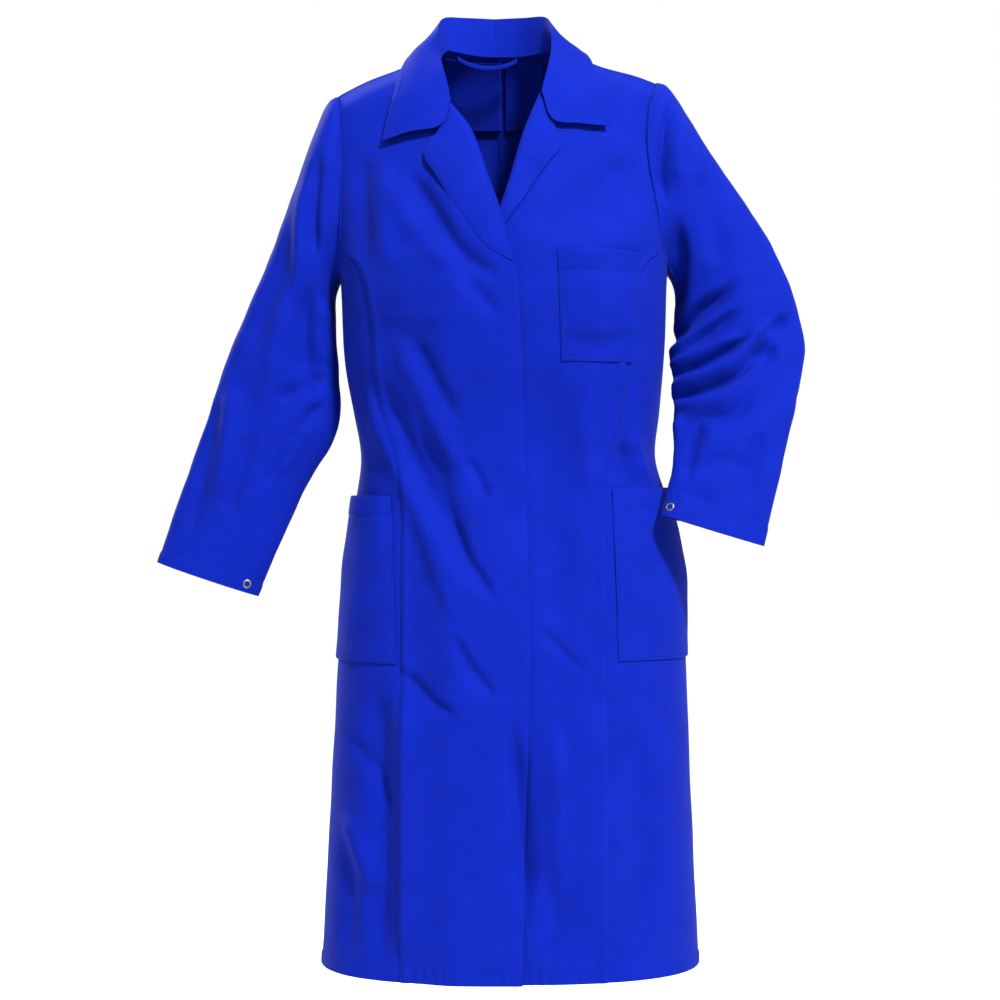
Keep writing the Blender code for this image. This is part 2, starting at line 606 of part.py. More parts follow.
def collar_lines(side):
    """A half collar's neck seam, fold and outer edge, each from the centre back to its front end."""
    gorge_z = ROLL_LINE[side][0][0]
    neck_x = abs(NECK_SIDE[side][0][1])
    seam = [on_back(mix(NECK_CENTRE_X, side * neck_x * 0.97, t), -0.001) for t in (0.0, 0.35, 0.7, 0.92)]
    seam += [on_front(front_edge(side, z), z) for z in (-0.020, -0.045, gorge_z)]
    if side == RIGHT:
        fold = [(-0.0100, 0.0080, 0.0434), (-0.0400, 0.0020, 0.0430), (-0.0615, -0.0180, 0.0375),
                (-0.0708, -0.0500, 0.0170), on_front(-0.0706, -0.0137, 0.009),
                on_front(-0.0640, -0.0430, 0.008), on_front(-0.0560, gorge_z, COLLAR_LIFT)]
        edge = [on_back(NECK_CENTRE_X, -0.036, COLLAR_LIFT), on_back(-0.060, -0.036, COLLAR_LIFT),
                on_back(-0.095, -0.034, COLLAR_LIFT), (-0.1110, -0.0420, -0.0140),
                on_front(-0.1210, -0.0670, COLLAR_LIFT), on_front(-0.1318, -0.1214, COLLAR_LIFT)]
        end = [fold[-1], on_front(-0.0664, -0.1075, COLLAR_LIFT), on_front(-0.1008, -0.1135, COLLAR_LIFT),
               edge[-1]]
    else:
        fold = [(-0.0100, 0.0080, 0.0434), (0.0200, 0.0020, 0.0430), (0.0420, -0.0180, 0.0385),
                (0.0516, -0.0500, 0.0190), on_front(0.0530, -0.0100, 0.006), on_front(0.0490, -0.0350, 0.006),
                on_front(0.0410, gorge_z, COLLAR_LIFT)]
        edge = [on_back(NECK_CENTRE_X, -0.036, COLLAR_LIFT), on_back(0.045, -0.036, COLLAR_LIFT),
                on_back(0.078, -0.032, COLLAR_LIFT), (0.0960, -0.0420, -0.0085),
                on_front(0.1060, -0.0560, COLLAR_LIFT), on_front(0.1150, -0.1050, COLLAR_LIFT)]
        end = [fold[-1], on_front(0.0530, -0.1010, COLLAR_LIFT), on_front(0.0840, -0.1040, COLLAR_LIFT),
               edge[-1]]
    return smooth_path(seam), smooth_path(fold), smooth_path(edge), smooth_path(end)


def collar_fall(side, s, t, lift):
    """A point on the part of the collar that falls outside. s goes from the centre back, t from the fold."""
    _, fold, edge, end = collar_lines(side)
    straight = mix(fold(s), edge(s), t)
    front = mix(fold(1), edge(1), t)
    point = straight + (end(t) - front) * s**4
    centre = Vector((NECK_CENTRE_X, -0.045, -0.05))
    out = (point - centre).normalized()
    return point + out * (lift + 0.004 * math.sin(math.pi * t) * (1 - s**4))


def make_collar(bodies, cloth):
    coat = bodies["coat"]
    away = lambda point: Vector((NECK_CENTRE_X, -0.045, -0.06))

    def upper(s, t):
        along_it = 2 * s - 1
        return collar_fall(LEFT if along_it >= 0 else RIGHT, abs(along_it), t, 0.0)

    make_panel("collar_upper", cloth, coat, 20, 5, upper, THIN_CLOTH, away)
    for side, word in WORD.items():

        def under(s, t, side=side):
            return collar_fall(side, mix(0.006, 0.985, s), mix(0.10, 0.97, t), -0.0034)

        def stand(s, t, side=side):
            seam, fold, _, _ = collar_lines(side)
            place = mix(0.004, 0.93, s)
            centre = Vector((NECK_CENTRE_X, -0.045, mix(seam(place), fold(place), t).z))
            point = mix(seam(place) + Vector((0, 0, 0.0012)), fold(place) - Vector((0, 0, 0.0022)), t)
            return point - (point - centre).normalized() * 0.0026

        make_panel(f"collar_under_{word}", cloth, coat, 10, 5, under, THIN_CLOTH, away)
        make_panel(f"collar_stand_{word}", cloth, coat, 9, 2, stand, THIN_CLOTH,
                   lambda p: Vector((NECK_CENTRE_X, -0.045, p.z)))


def make_hanging_loop(bodies, cloth):
    """A short tape, held at both ends and straight between them, clear of the facing for a hook."""
    def end(across):
        x = LOOP_PIVOT[0] + LOOP_HALF_WIDTH * across
        wall = on_back(x, -0.008, NECK_FACING_LIFT - THIN_CLOTH)
        return Vector((x, wall.y - LOOP_OFF_FACING, LOOP_PIVOT[2]))

    def loop(s, t):
        bow = 1 - (2 * s - 1) ** 2
        return mix(end(-1), end(1), s) - Vector((0, 0, LOOP_SAG * bow**0.8 + LOOP_TAPE * t))

    behind = Vector((0, 0.01, 0))
    make_panel("hanging_loop", cloth, bodies["loop"], 12, 1, loop, LOOP_CLOTH, lambda p: p + behind)


main()
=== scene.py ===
"""The visual model of the laboratory coat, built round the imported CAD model.

Metres, +Z up, the front faces -Y and +X is the wearer's left. Pieces are drawn from the coat's own centre
line, and OFFSET moves them to the frame's origin. A turn is the angle round the body of the coat: 0 is the
centre front, half a turn the centre back, negative on the wearer's right. Folds lie by the coat's landmarks,
such as its pockets' corners, its underarms and its elbows, and are listed in millimetres from them.
"""

import json
import math

import bpy
import numpy as np
from mathutils import Vector
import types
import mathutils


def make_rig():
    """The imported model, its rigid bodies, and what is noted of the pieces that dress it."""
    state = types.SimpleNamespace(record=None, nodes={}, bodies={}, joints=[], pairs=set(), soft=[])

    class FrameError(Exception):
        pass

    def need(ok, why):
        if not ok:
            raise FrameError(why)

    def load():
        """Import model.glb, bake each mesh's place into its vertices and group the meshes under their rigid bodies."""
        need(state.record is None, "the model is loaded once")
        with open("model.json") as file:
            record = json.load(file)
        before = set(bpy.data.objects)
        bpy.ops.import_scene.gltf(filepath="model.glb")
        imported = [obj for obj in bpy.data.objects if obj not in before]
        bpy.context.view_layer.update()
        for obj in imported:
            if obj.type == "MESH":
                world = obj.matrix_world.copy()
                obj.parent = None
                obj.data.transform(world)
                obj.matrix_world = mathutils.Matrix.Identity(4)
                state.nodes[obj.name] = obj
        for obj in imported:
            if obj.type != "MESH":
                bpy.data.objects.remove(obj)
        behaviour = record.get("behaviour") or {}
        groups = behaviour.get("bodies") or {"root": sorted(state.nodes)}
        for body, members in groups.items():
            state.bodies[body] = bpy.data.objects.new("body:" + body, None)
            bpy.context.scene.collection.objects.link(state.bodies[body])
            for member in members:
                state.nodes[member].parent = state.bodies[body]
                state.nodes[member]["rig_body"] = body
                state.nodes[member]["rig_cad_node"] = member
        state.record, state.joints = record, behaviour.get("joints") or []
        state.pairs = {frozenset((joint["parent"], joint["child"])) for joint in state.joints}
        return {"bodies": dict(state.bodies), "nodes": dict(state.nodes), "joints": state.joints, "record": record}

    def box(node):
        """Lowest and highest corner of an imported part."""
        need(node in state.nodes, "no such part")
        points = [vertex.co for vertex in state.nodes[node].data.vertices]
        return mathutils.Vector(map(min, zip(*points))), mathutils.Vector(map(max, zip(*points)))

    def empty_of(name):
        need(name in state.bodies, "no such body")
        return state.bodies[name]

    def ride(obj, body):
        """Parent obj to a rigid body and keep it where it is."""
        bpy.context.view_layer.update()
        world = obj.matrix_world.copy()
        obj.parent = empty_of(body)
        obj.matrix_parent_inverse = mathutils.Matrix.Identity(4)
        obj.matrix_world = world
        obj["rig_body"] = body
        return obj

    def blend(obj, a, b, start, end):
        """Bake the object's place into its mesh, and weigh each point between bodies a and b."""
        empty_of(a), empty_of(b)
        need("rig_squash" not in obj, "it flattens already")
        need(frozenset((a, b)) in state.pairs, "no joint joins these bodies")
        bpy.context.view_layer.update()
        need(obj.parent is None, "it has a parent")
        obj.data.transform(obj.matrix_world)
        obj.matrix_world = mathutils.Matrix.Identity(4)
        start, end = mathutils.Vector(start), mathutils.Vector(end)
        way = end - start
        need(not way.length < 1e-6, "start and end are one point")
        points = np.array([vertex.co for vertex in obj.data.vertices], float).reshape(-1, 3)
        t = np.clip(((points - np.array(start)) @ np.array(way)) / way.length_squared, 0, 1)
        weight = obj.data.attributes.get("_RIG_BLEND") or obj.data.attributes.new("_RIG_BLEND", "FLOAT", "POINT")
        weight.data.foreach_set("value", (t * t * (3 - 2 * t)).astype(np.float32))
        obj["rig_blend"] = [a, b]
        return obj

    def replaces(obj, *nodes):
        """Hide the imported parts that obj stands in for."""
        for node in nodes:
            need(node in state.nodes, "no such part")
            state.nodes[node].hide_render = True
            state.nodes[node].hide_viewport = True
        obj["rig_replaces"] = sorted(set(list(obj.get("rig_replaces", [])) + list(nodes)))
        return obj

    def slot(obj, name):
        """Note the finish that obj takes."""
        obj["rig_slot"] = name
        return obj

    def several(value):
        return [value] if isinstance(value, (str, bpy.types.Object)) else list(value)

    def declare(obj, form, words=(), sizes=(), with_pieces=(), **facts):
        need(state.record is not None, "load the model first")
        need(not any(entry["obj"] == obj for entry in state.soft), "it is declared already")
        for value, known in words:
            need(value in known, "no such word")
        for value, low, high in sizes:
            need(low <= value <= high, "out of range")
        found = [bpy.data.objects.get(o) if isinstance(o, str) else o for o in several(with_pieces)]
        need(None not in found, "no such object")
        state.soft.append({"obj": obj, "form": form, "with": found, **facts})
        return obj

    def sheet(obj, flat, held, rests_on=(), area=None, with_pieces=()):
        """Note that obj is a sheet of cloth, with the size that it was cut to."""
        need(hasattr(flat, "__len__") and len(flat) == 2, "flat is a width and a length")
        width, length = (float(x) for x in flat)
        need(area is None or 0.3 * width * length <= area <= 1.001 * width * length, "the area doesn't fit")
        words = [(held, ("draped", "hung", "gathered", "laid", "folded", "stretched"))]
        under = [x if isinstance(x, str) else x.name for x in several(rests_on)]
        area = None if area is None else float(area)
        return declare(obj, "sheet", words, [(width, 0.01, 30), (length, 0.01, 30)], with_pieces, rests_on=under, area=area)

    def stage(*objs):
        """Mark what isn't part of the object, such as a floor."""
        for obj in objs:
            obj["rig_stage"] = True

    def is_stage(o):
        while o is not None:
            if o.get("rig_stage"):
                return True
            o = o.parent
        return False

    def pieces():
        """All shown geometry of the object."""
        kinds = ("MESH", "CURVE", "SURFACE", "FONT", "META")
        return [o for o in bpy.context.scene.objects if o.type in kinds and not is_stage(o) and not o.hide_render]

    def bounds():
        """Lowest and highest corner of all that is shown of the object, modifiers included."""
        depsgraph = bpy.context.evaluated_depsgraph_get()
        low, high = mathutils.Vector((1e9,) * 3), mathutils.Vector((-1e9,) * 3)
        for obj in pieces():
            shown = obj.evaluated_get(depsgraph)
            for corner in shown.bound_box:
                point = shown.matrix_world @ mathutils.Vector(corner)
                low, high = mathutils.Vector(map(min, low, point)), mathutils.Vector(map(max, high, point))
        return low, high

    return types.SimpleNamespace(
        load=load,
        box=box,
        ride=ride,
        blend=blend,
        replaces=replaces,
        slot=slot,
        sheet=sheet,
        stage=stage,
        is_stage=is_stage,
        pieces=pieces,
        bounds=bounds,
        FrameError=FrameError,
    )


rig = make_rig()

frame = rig.load()
cad_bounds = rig.bounds()

JOINTS = {joint["name"]: joint for joint in frame["record"]["behaviour"]["joints"]}
HINGES = [JOINTS[name]["pos_m"] for name in ("right_front_open", "left_front_open")]
OFFSET = (HINGES[0][0] + HINGES[1][0]) / 2
HINGE_X = (HINGES[1][0] - HINGES[0][0]) / 2
WAIST_Z = HINGES[0][2]
RIGHT, LEFT = -1, 1
WORD = {RIGHT: "right", LEFT: "left"}

# Sizes of the cloth
CLOTH = 0.0009
SEAM_GAP = 0.0003
SEAM_LAP = 0.004
FINE, COARSE = 0.0032, 0.0048
HEM_WIDTH = 0.014
ROUNDNESS = 2.5
OVERLAP = 0.046
HEM_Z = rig.box("front_right_lower")[0][2]
UNDERARM_Z = -0.251
SHOULDER_TOP = 0.022
SHOULDER_RISE = 0.0045
SHOULDER_FADE = (-0.12, -0.32)
# how far above and below the waist the fronts' blends and the princess seams' turns reach
WAIST_BLEND, WAIST_TURN = (0.055, -0.050), (0.055, -0.045)
ELBOW_BLEND = (-0.040, 0.055)
STITCH_PITCH, STITCH_RADIUS = 0.0034, 0.00032
SIDE_WIDTH = 0.28

# The body of the coat, close to the CAD's: heights, and what it measures there
SHOULDER = ((-0.235, -0.092), (-0.191, -0.062), (-0.110, -0.0215), (-0.072, -0.002), (0.0, 0.022),
            (0.072, -0.004), (0.100, -0.0175), (0.178, -0.0475), (0.225, -0.070))
HALF_WIDTH = {
    RIGHT: ((0.03, 0.235), (-0.06, 0.222), (-0.15, 0.204), (-0.25, 0.186), (-0.36, 0.1785), (-0.42, 0.168),
            (-0.47, 0.160), (-0.52, 0.167), (-0.60, 0.178), (-0.70, 0.186), (-0.86, 0.194), (-1.06, 0.205)),
    LEFT: ((0.03, 0.225), (-0.06, 0.212), (-0.15, 0.198), (-0.25, 0.187), (-0.36, 0.181), (-0.42, 0.176),
           (-0.47, 0.172), (-0.52, 0.186), (-0.60, 0.203), (-0.70, 0.206), (-0.86, 0.212), (-1.06, 0.221)),
}
FRONT_Y = ((0.022, -0.0417), (0.0, -0.080), (-0.05, -0.113), (-0.12, -0.150), (-0.20, -0.178),
           (-0.28, -0.190), (-0.36, -0.186), (-0.47, -0.174), (-0.60, -0.188), (-0.75, -0.200),
           (-1.06, -0.216))
BACK_Y = ((0.022, -0.0423), (0.0, 0.0), (-0.05, 0.030), (-0.12, 0.052), (-0.25, 0.062), (-0.36, 0.050),
          (-0.47, 0.038), (-0.60, 0.062), (-0.75, 0.076), (-1.06, 0.086))
SIDE_Y = ((0.022, -0.042), (-0.25, -0.055), (-0.5, -0.065), (-1.06, -0.065))
ARMHOLE = {
    RIGHT: ((-0.055, 0.191), (-0.11, 0.189), (-0.15, 0.186), (-0.20, 0.184), (-0.25, 0.183)),
    LEFT: ((-0.045, 0.179), (-0.082, 0.167), (-0.13, 0.165), (-0.18, 0.172), (-0.25, 0.183)),
}
FRONT_SEAM = {
    RIGHT: ((-0.236, 0.181), (-0.262, 0.160), (-0.31, 0.147), (-0.37, 0.1435), (-0.455, 0.133)),
    LEFT: ((-0.236, 0.179), (-0.262, 0.156), (-0.31, 0.142), (-0.37, 0.1365), (-0.455, 0.135)),
}
BACK_SEAM = ((-0.236, 0.178), (-0.262, 0.158), (-0.30, 0.142), (-0.47, 0.118), (-0.70, 0.125), (-1.06, 0.135))
ROLL_LINE = {
    RIGHT: ((-0.0758, -0.0575), (-0.109, -0.0345), (-0.165, -0.016), (-0.2105, -0.001), (-0.2608, 0.0125)),
    LEFT: ((-0.0665, 0.0395), (-0.1145, 0.0215), (-0.1707, 0.0055), (-0.215, -0.010), (-0.2608, -0.0315)),
}
NECK_SIDE = {
    RIGHT: ((-0.002, -0.0715), (-0.040, -0.0705), (-0.0758, -0.0575)),
    LEFT: ((-0.004, 0.0720), (-0.035, 0.0600), (-0.0665, 0.0395)),
}
RIGHT_EDGE = ((-0.2608, 0.0135), (-0.325, 0.0183), (-0.404, 0.0215), (-0.548, 0.0258), (-0.681, 0.0287),
              (-0.776, 0.0265), (-0.870, 0.0235), (-1.06, 0.0200))
NECK_CENTRE_X, NECK_X = -0.010, 0.0705
COLLAR_LIFT = 0.0078
LAPEL = {
    RIGHT: (0.0090, ((-0.0676, -0.1090), (-0.0850, -0.1370), (-0.0738, -0.1613), (-0.0431, -0.2130),
                     (-0.0200, -0.2440), (0.0080, -0.2600))),
    LEFT: (0.0036, ((0.0540, -0.1020), (0.0640, -0.1260), (0.0480, -0.1500), (0.0360, -0.1670),
                    (0.0100, -0.2080), (-0.0270, -0.2590))),
}
LAPEL_TOP_LIFT = 0.0045
LAPEL_CUT = {RIGHT: 0.0105, LEFT: 0.0065}
FLY_LIFT, FLY_STRIP_LIFT, FACING_LIFT = 0.0082, 0.0058, -0.0034
FLY_LIFT_RANGE = (-0.095, -0.050)
FLY_WIDTH, FACING_WIDTH = 0.058, 0.060
NECK_FACING_LIFT = -0.0052

# Pockets: heights, the x of their edges at the top and the foot, and width and height along the cloth
CHEST_POCKET_Z, CHEST_POCKET_FIRST_X, CHEST_POCKET_LAST_X = (-0.2465, -0.3660), (0.0585, 0.0625), 0.1480
CHEST_POCKET_SIZE, HIP_POCKET_SIZE = (0.088, 0.12), (0.115, 0.186)
POCKET_STITCH, POCKET_HEM = 0.0045, 0.022
PEN_BAR = (0.50, 0.19)
# The sleeves' cut widths and lengths, and cut areas: the left one is divided lower down
UPPER_SLEEVE_CUT = {RIGHT: ((0.42, 0.16), 0.045), LEFT: ((0.42, 0.20), 0.060)}
LOWER_SLEEVE_CUT = {RIGHT: ((0.36, 0.43), 0.118), LEFT: ((0.36, 0.40), 0.104)}
HIP_POCKET_Z = {RIGHT: (-0.5120, -0.6930), LEFT: (-0.5040, -0.6900)}
HIP_POCKET_X = {RIGHT: (0.1220, 0.1150), LEFT: (0.1185, 0.1245)}
HIP_POCKET_BACK = math.pi / 2 - 0.03
HIP_POCKET_CUT = {RIGHT: (0.135, 0.215), LEFT: (0.155, 0.215)}

# Sleeves, close to the CAD's: outer and inner edge as (x, z), the middle's y, and half the depth
SLEEVE = {
    RIGHT: (
        ((-0.191, -0.062), (-0.186, -0.252), -0.048, 0.060),
        ((-0.224, -0.130), (-0.190, -0.288), -0.050, 0.052),
        ((-0.257, -0.220), (-0.189, -0.334), -0.056, 0.042),
        ((-0.291, -0.305), (-0.185, -0.380), -0.062, 0.034),
        ((-0.318, -0.375), (-0.188, -0.440), -0.066, 0.031),
        ((-0.352, -0.476), (-0.229, -0.514), -0.070, 0.027),
        ((-0.389, -0.586), (-0.276, -0.624), -0.074, 0.022),
    ),
    LEFT: (
        ((0.179, -0.050), (0.186, -0.252), -0.048, 0.060),
        ((0.223, -0.106), (0.191, -0.286), -0.052, 0.052),
        ((0.267, -0.169), (0.191, -0.314), -0.058, 0.044),
        ((0.312, -0.246), (0.190, -0.345), -0.066, 0.036),
        ((0.337, -0.330), (0.190, -0.370), -0.082, 0.033),
        ((0.331, -0.385), (0.190, -0.405), -0.100, 0.031),
        ((0.314, -0.450), (0.190, -0.458), -0.124, 0.028),
        ((0.283, -0.566), (0.172, -0.532), -0.162, 0.020),
    ),
}
SLEEVE_SPLIT = {RIGHT: 2.0, LEFT: 2.5}
CAP_RISE = 0.0085
SLEEVE_SLOPE = math.radians(16)
CUFF_SNAP_TURN = {RIGHT: math.radians(138), LEFT: math.radians(152)}

# The materials, the lighting and the camera: lamps are name, place, aim, power and size
CAMERA_PLACE, CAMERA_LENS = (0.0146, -2.565, -0.516), 79.6
FLOOR_Z, FLOOR_REACH = -1.5, 60.0
WORLD_LIGHT = 1.0
BEAM = math.radians(40)
LAMPS = (
    ("key", (3.2, -5.7, 6.6), (0.0, -0.1, -0.45), 116.0, 1.2),
    ("back", (-2.6, 3.2, 2.2), (0.0, 0.0, -0.5), 24.0, 1.6),
)
ROYAL_BLUE = (0.0008, 0.0095, 0.240)
DEEP_BLUE = (0.0004, 0.0050, 0.138)
THREAD_BLUE = (0.0060, 0.0260, 0.330)
ANTIQUE_BRASS = (0.190, 0.175, 0.130)


# ---- curves and surfaces, all on arrays ----

def along(points, at):
    """The value at a place on a smooth line through (place, value) points, level past its ends."""
    if points[0][0] > points[-1][0]:
        points = points[::-1]
    places = np.array([p[0] for p in points], float)
    values = np.array([p[1] for p in points], float)
    at = np.clip(np.asarray(at, float), places[0], places[-1])
    last = len(points) - 1
    k = np.clip(np.searchsorted(places, at, side="right") - 1, 0, last - 1)
    before, after = np.maximum(np.arange(last + 1) - 1, 0), np.minimum(np.arange(last + 1) + 1, last)
    run = places[after] - places[before]
    slopes = (values[after] - values[before]) / (run if values.ndim == 1 else run[:, None])
    gap = places[k + 1] - places[k]
    t = (at - places[k]) / gap
    if values.ndim > 1:
        gap, t = gap[..., None], t[..., None]
    return (
        values[k] * (1 + 2 * t) * (1 - t) ** 2
        + slopes[k] * (gap * t * (1 - t) ** 2)
        + values[k + 1] * (t * t * (3 - 2 * t))
        - slopes[k + 1] * (gap * t * t * (1 - t))
    )


def bell(distance, width):
    """1 at no distance, and fading away over a width."""
    return np.exp(-((distance / width) ** 2))


def ease(start, end, at):
    """0 before start and 1 after end, smooth between."""
    t = np.clip((np.asarray(at, float) - start) / (end - start), 0.0, 1.0)
    return t * t * (3 - 2 * t)


def mix(a, b, t):
    return a + (b - a) * t


def smooth_path(points):
    """A function from 0..1 to a smooth line through points, spaced by their distances."""
    points = [np.array(p, float) for p in points]
    places = [0.0]
    for a, b in zip(points, points[1:]):
        places.append(places[-1] + float(np.linalg.norm(b - a)))
    line = tuple((place / places[-1], point) for place, point in zip(places, points))
    return lambda t: along(line, t)


def unit(vectors):
    return vectors / np.maximum(np.linalg.norm(vectors, axis=-1, keepdims=True), 1e-12)


def stack(x, y, z):
    x, y, z = np.broadcast_arrays(np.asarray(x, float), np.asarray(y, float), np.asarray(z, float))
    return np.stack((x, y, z), axis=-1)


def by_side(table, turn_or_x, z):
    return np.where(np.asarray(turn_or_x) >= 0, along(table[LEFT], z), along(table[RIGHT], z))


def skin(turn, z):
    """The point on the outside of the coat's body at a turn and a height."""
    turn, z = np.asarray(turn, float), np.asarray(z, float)
    side = np.where(turn >= 0, 1.0, -1.0)
    x = side * np.abs(np.sin(turn)) ** (2 / ROUNDNESS) * by_side(HALF_WIDTH, turn, z)
    drop = SHOULDER_TOP - along(SHOULDER, x)
    height = z + drop * (1 - ease(SHOULDER_FADE[0], SHOULDER_FADE[1], z))
    middle = along(SIDE_Y, height)
    face = np.where(np.cos(turn) >= 0, along(FRONT_Y, height), along(BACK_Y, height))
    y = middle + (face - middle) * np.abs(np.cos(turn)) ** (2 / ROUNDNESS)
    return stack(x, y, z)


def raised(points):
    """The ends of the shoulders stand a little higher."""
    rise = SHOULDER_RISE * ease(0.105, 0.16, np.abs(points[..., 0])) * ease(-0.14, -0.05, points[..., 2])
    return points + stack(0, 0, rise)


def below_shoulder(x, z):
    """0 on the shoulder seam and 1 well below it."""
    return ease(0.002, 0.05, along(SHOULDER, x) - z)


def outward(turn, z):
    step = 0.004
    across = skin(turn + step, z) - skin(turn - step, z)
    up = skin(turn, z + step) - skin(turn, z - step)
    return unit(np.cross(across, up))


def lifted(turn, z, lift):
    return skin(turn, z) + outward(turn, z) * np.asarray(lift, float)[..., None]


def front_turn(x, z):
    x = np.asarray(x, float)
    side = np.where(x >= 0, 1.0, -1.0)
    share = np.minimum(np.abs(x) / by_side(HALF_WIDTH, x, z), 1.0)
    return side * np.arcsin(share ** (ROUNDNESS / 2))


def back_turn(x, z):
    turn = front_turn(x, z)
    return np.where(turn >= 0, math.pi, -math.pi) - turn


def on_front(x, z, lift=0.0):
    return lifted(front_turn(x, z), z, lift)


def on_back(x, z, lift=0.0):
    return lifted(back_turn(x, z), z, lift)


def above_underarm(z):
    return ease(UNDERARM_Z - 0.004, UNDERARM_Z + 0.020, z)


def front_edge(side, z):
    """The x of a front's own edge: at the neck, then along the roll line, then down the overlap."""
    z = np.asarray(z, float)
    below = along(RIGHT_EDGE, z) - (OVERLAP if side == LEFT else 0.0)
    edge = np.where(z > RIGHT_EDGE[0][0], along(ROLL_LINE[side], z), below)
    return np.where(z > NECK_SIDE[side][-1][0], along(NECK_SIDE[side], z), edge)


def front_lift(side, x, z):
    """The right front stands off the left one where they overlap."""
    if side == LEFT:
        return np.zeros(np.broadcast(x, z).shape)
    return FLY_LIFT * ease(FLY_LIFT_RANGE[0], FLY_LIFT_RANGE[1], x) * ease(-0.12, -0.19, z)


def front_reach(side, z):
    """How far a front reaches: to the armhole, then the princess seam, then the line that it turns on."""
    turn = ease(WAIST_Z + WAIST_TURN[0], WAIST_Z + WAIST_TURN[1], z)
    return mix(mix(along(FRONT_SEAM[side], z), HINGE_X, turn), along(ARMHOLE[side], z), above_underarm(z))


def back_reach(side, z):
    return mix(along(BACK_SEAM, z), along(ARMHOLE[side], z), above_underarm(z))


def sleeve_ring(side, place, turn):
    """A point on a sleeve: place counts its stations, and turn goes from its outer edge over the front."""
    outer, inner, y, depth = (
        along(tuple((k, np.array(station[n], float)) for k, station in enumerate(SLEEVE[side])), place)
        for n in range(4)
    )
    middle, half = (outer + inner) / 2, (outer - inner) / 2
    across = half * np.cos(turn)[..., None]
    point = stack(middle[..., 0] + across[..., 0], y - depth * np.sin(turn), middle[..., 1] + across[..., 1])
    start = armhole_point(side, turn)
    return np.where((place < 1)[..., None], mix(start, point, ease(0, 1, place)[..., None]), point)


def armhole_point(side, turn):
    """A point on the armhole: turn goes from the shoulder's tip, down the front to the underarm."""
    top = along(SHOULDER, side * along(ARMHOLE[side], -0.06))
    z = mix(UNDERARM_Z, top, (1 + np.cos(turn)) / 2)
    x = side * (along(ARMHOLE[side], z) - SEAM_LAP)
    front = (np.sin(turn) > -1e-6)[..., None]
    sunk = np.full(z.shape, -0.0014)
    return raised(np.where(front, on_front(x, z, sunk), on_back(x, z, sunk)))


# ---- folds ----

FOLD_DEPTH = 1.6


def metres(millimetres):
    return round(millimetres / 1000, 6)


class Fold:
    """A ridge, or a valley where its height is negative, along a smooth line of (x, z) points.

    widths are how far it fades on the two sides of its line, left and right of the way it runs. Both, and
    its height, are given in millimetres; ends is the share of the line over which each end fades."""

    def __init__(self, height, widths, *points, ends=0.25):
        self.height, self.widths, self.ends = metres(height), [metres(width) for width in widths], ends
        self.line = smooth_path(points)(np.linspace(0, 1, 7 * len(points)))

    def at(self, x, z):
        spot = np.stack((x, z), axis=-1)
        nearest = np.full(x.shape, 9.0)
        hand, share = np.zeros(x.shape), np.zeros(x.shape)
        count = len(self.line) - 1
        for k in range(count):
            a, run = self.line[k], self.line[k + 1] - self.line[k]
            way = spot - a
            t = np.clip((way @ run) / (run @ run), 0, 1)
            off = way - t[..., None] * run
            distance = np.hypot(off[..., 0], off[..., 1])
            closer = distance < nearest
            nearest = np.where(closer, distance, nearest)
            hand = np.where(closer, run[0] * way[..., 1] - run[1] * way[..., 0], hand)
            share = np.where(closer, (k + t) / count, share)
        fade = ease(0, self.ends, share) * ease(1, 1 - self.ends, share)
        width = np.where(hand > 0, self.widths[0], self.widths[1]) * (0.45 + 0.55 * fade)
        return self.height * bell(nearest, width) * fade


def fold_sum(folds, x, z):
    return sum(fold.at(x, z) for fold in folds) * FOLD_DEPTH


def ripple(x, z, height, length, seed):
    """Small smooth unevenness of about one wave length, the same at every run."""
    total = np.zeros(np.shape(x))
    for k in range(5):
        angle = seed * 2.399 + k * 1.257
        wave = 2 * math.pi / (length * (0.75 + 0.17 * k))
        total += np.sin(wave * (x * math.cos(angle) + z * math.sin(angle)) + seed * 1.7 + k * 2.1)
    return total * height / 5


def corner(node, x_end, z_end):
    """A corner of a CAD node as (x, z) from the centre line; 0 is its low end and 1 its high end."""
    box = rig.box(node)
    return np.array((box[x_end][0] - OFFSET, box[z_end][2]))


def by(landmark, dx, dz):
    """The point dx and dz millimetres from a landmark."""
    return (float(landmark[0] + metres(dx)), float(landmark[1] + metres(dz)))


def near(landmark, *steps):
    """Points beside a landmark, each by its own (dx, dz) in millimetres."""
    return [by(landmark, dx, dz) for dx, dz in steps]


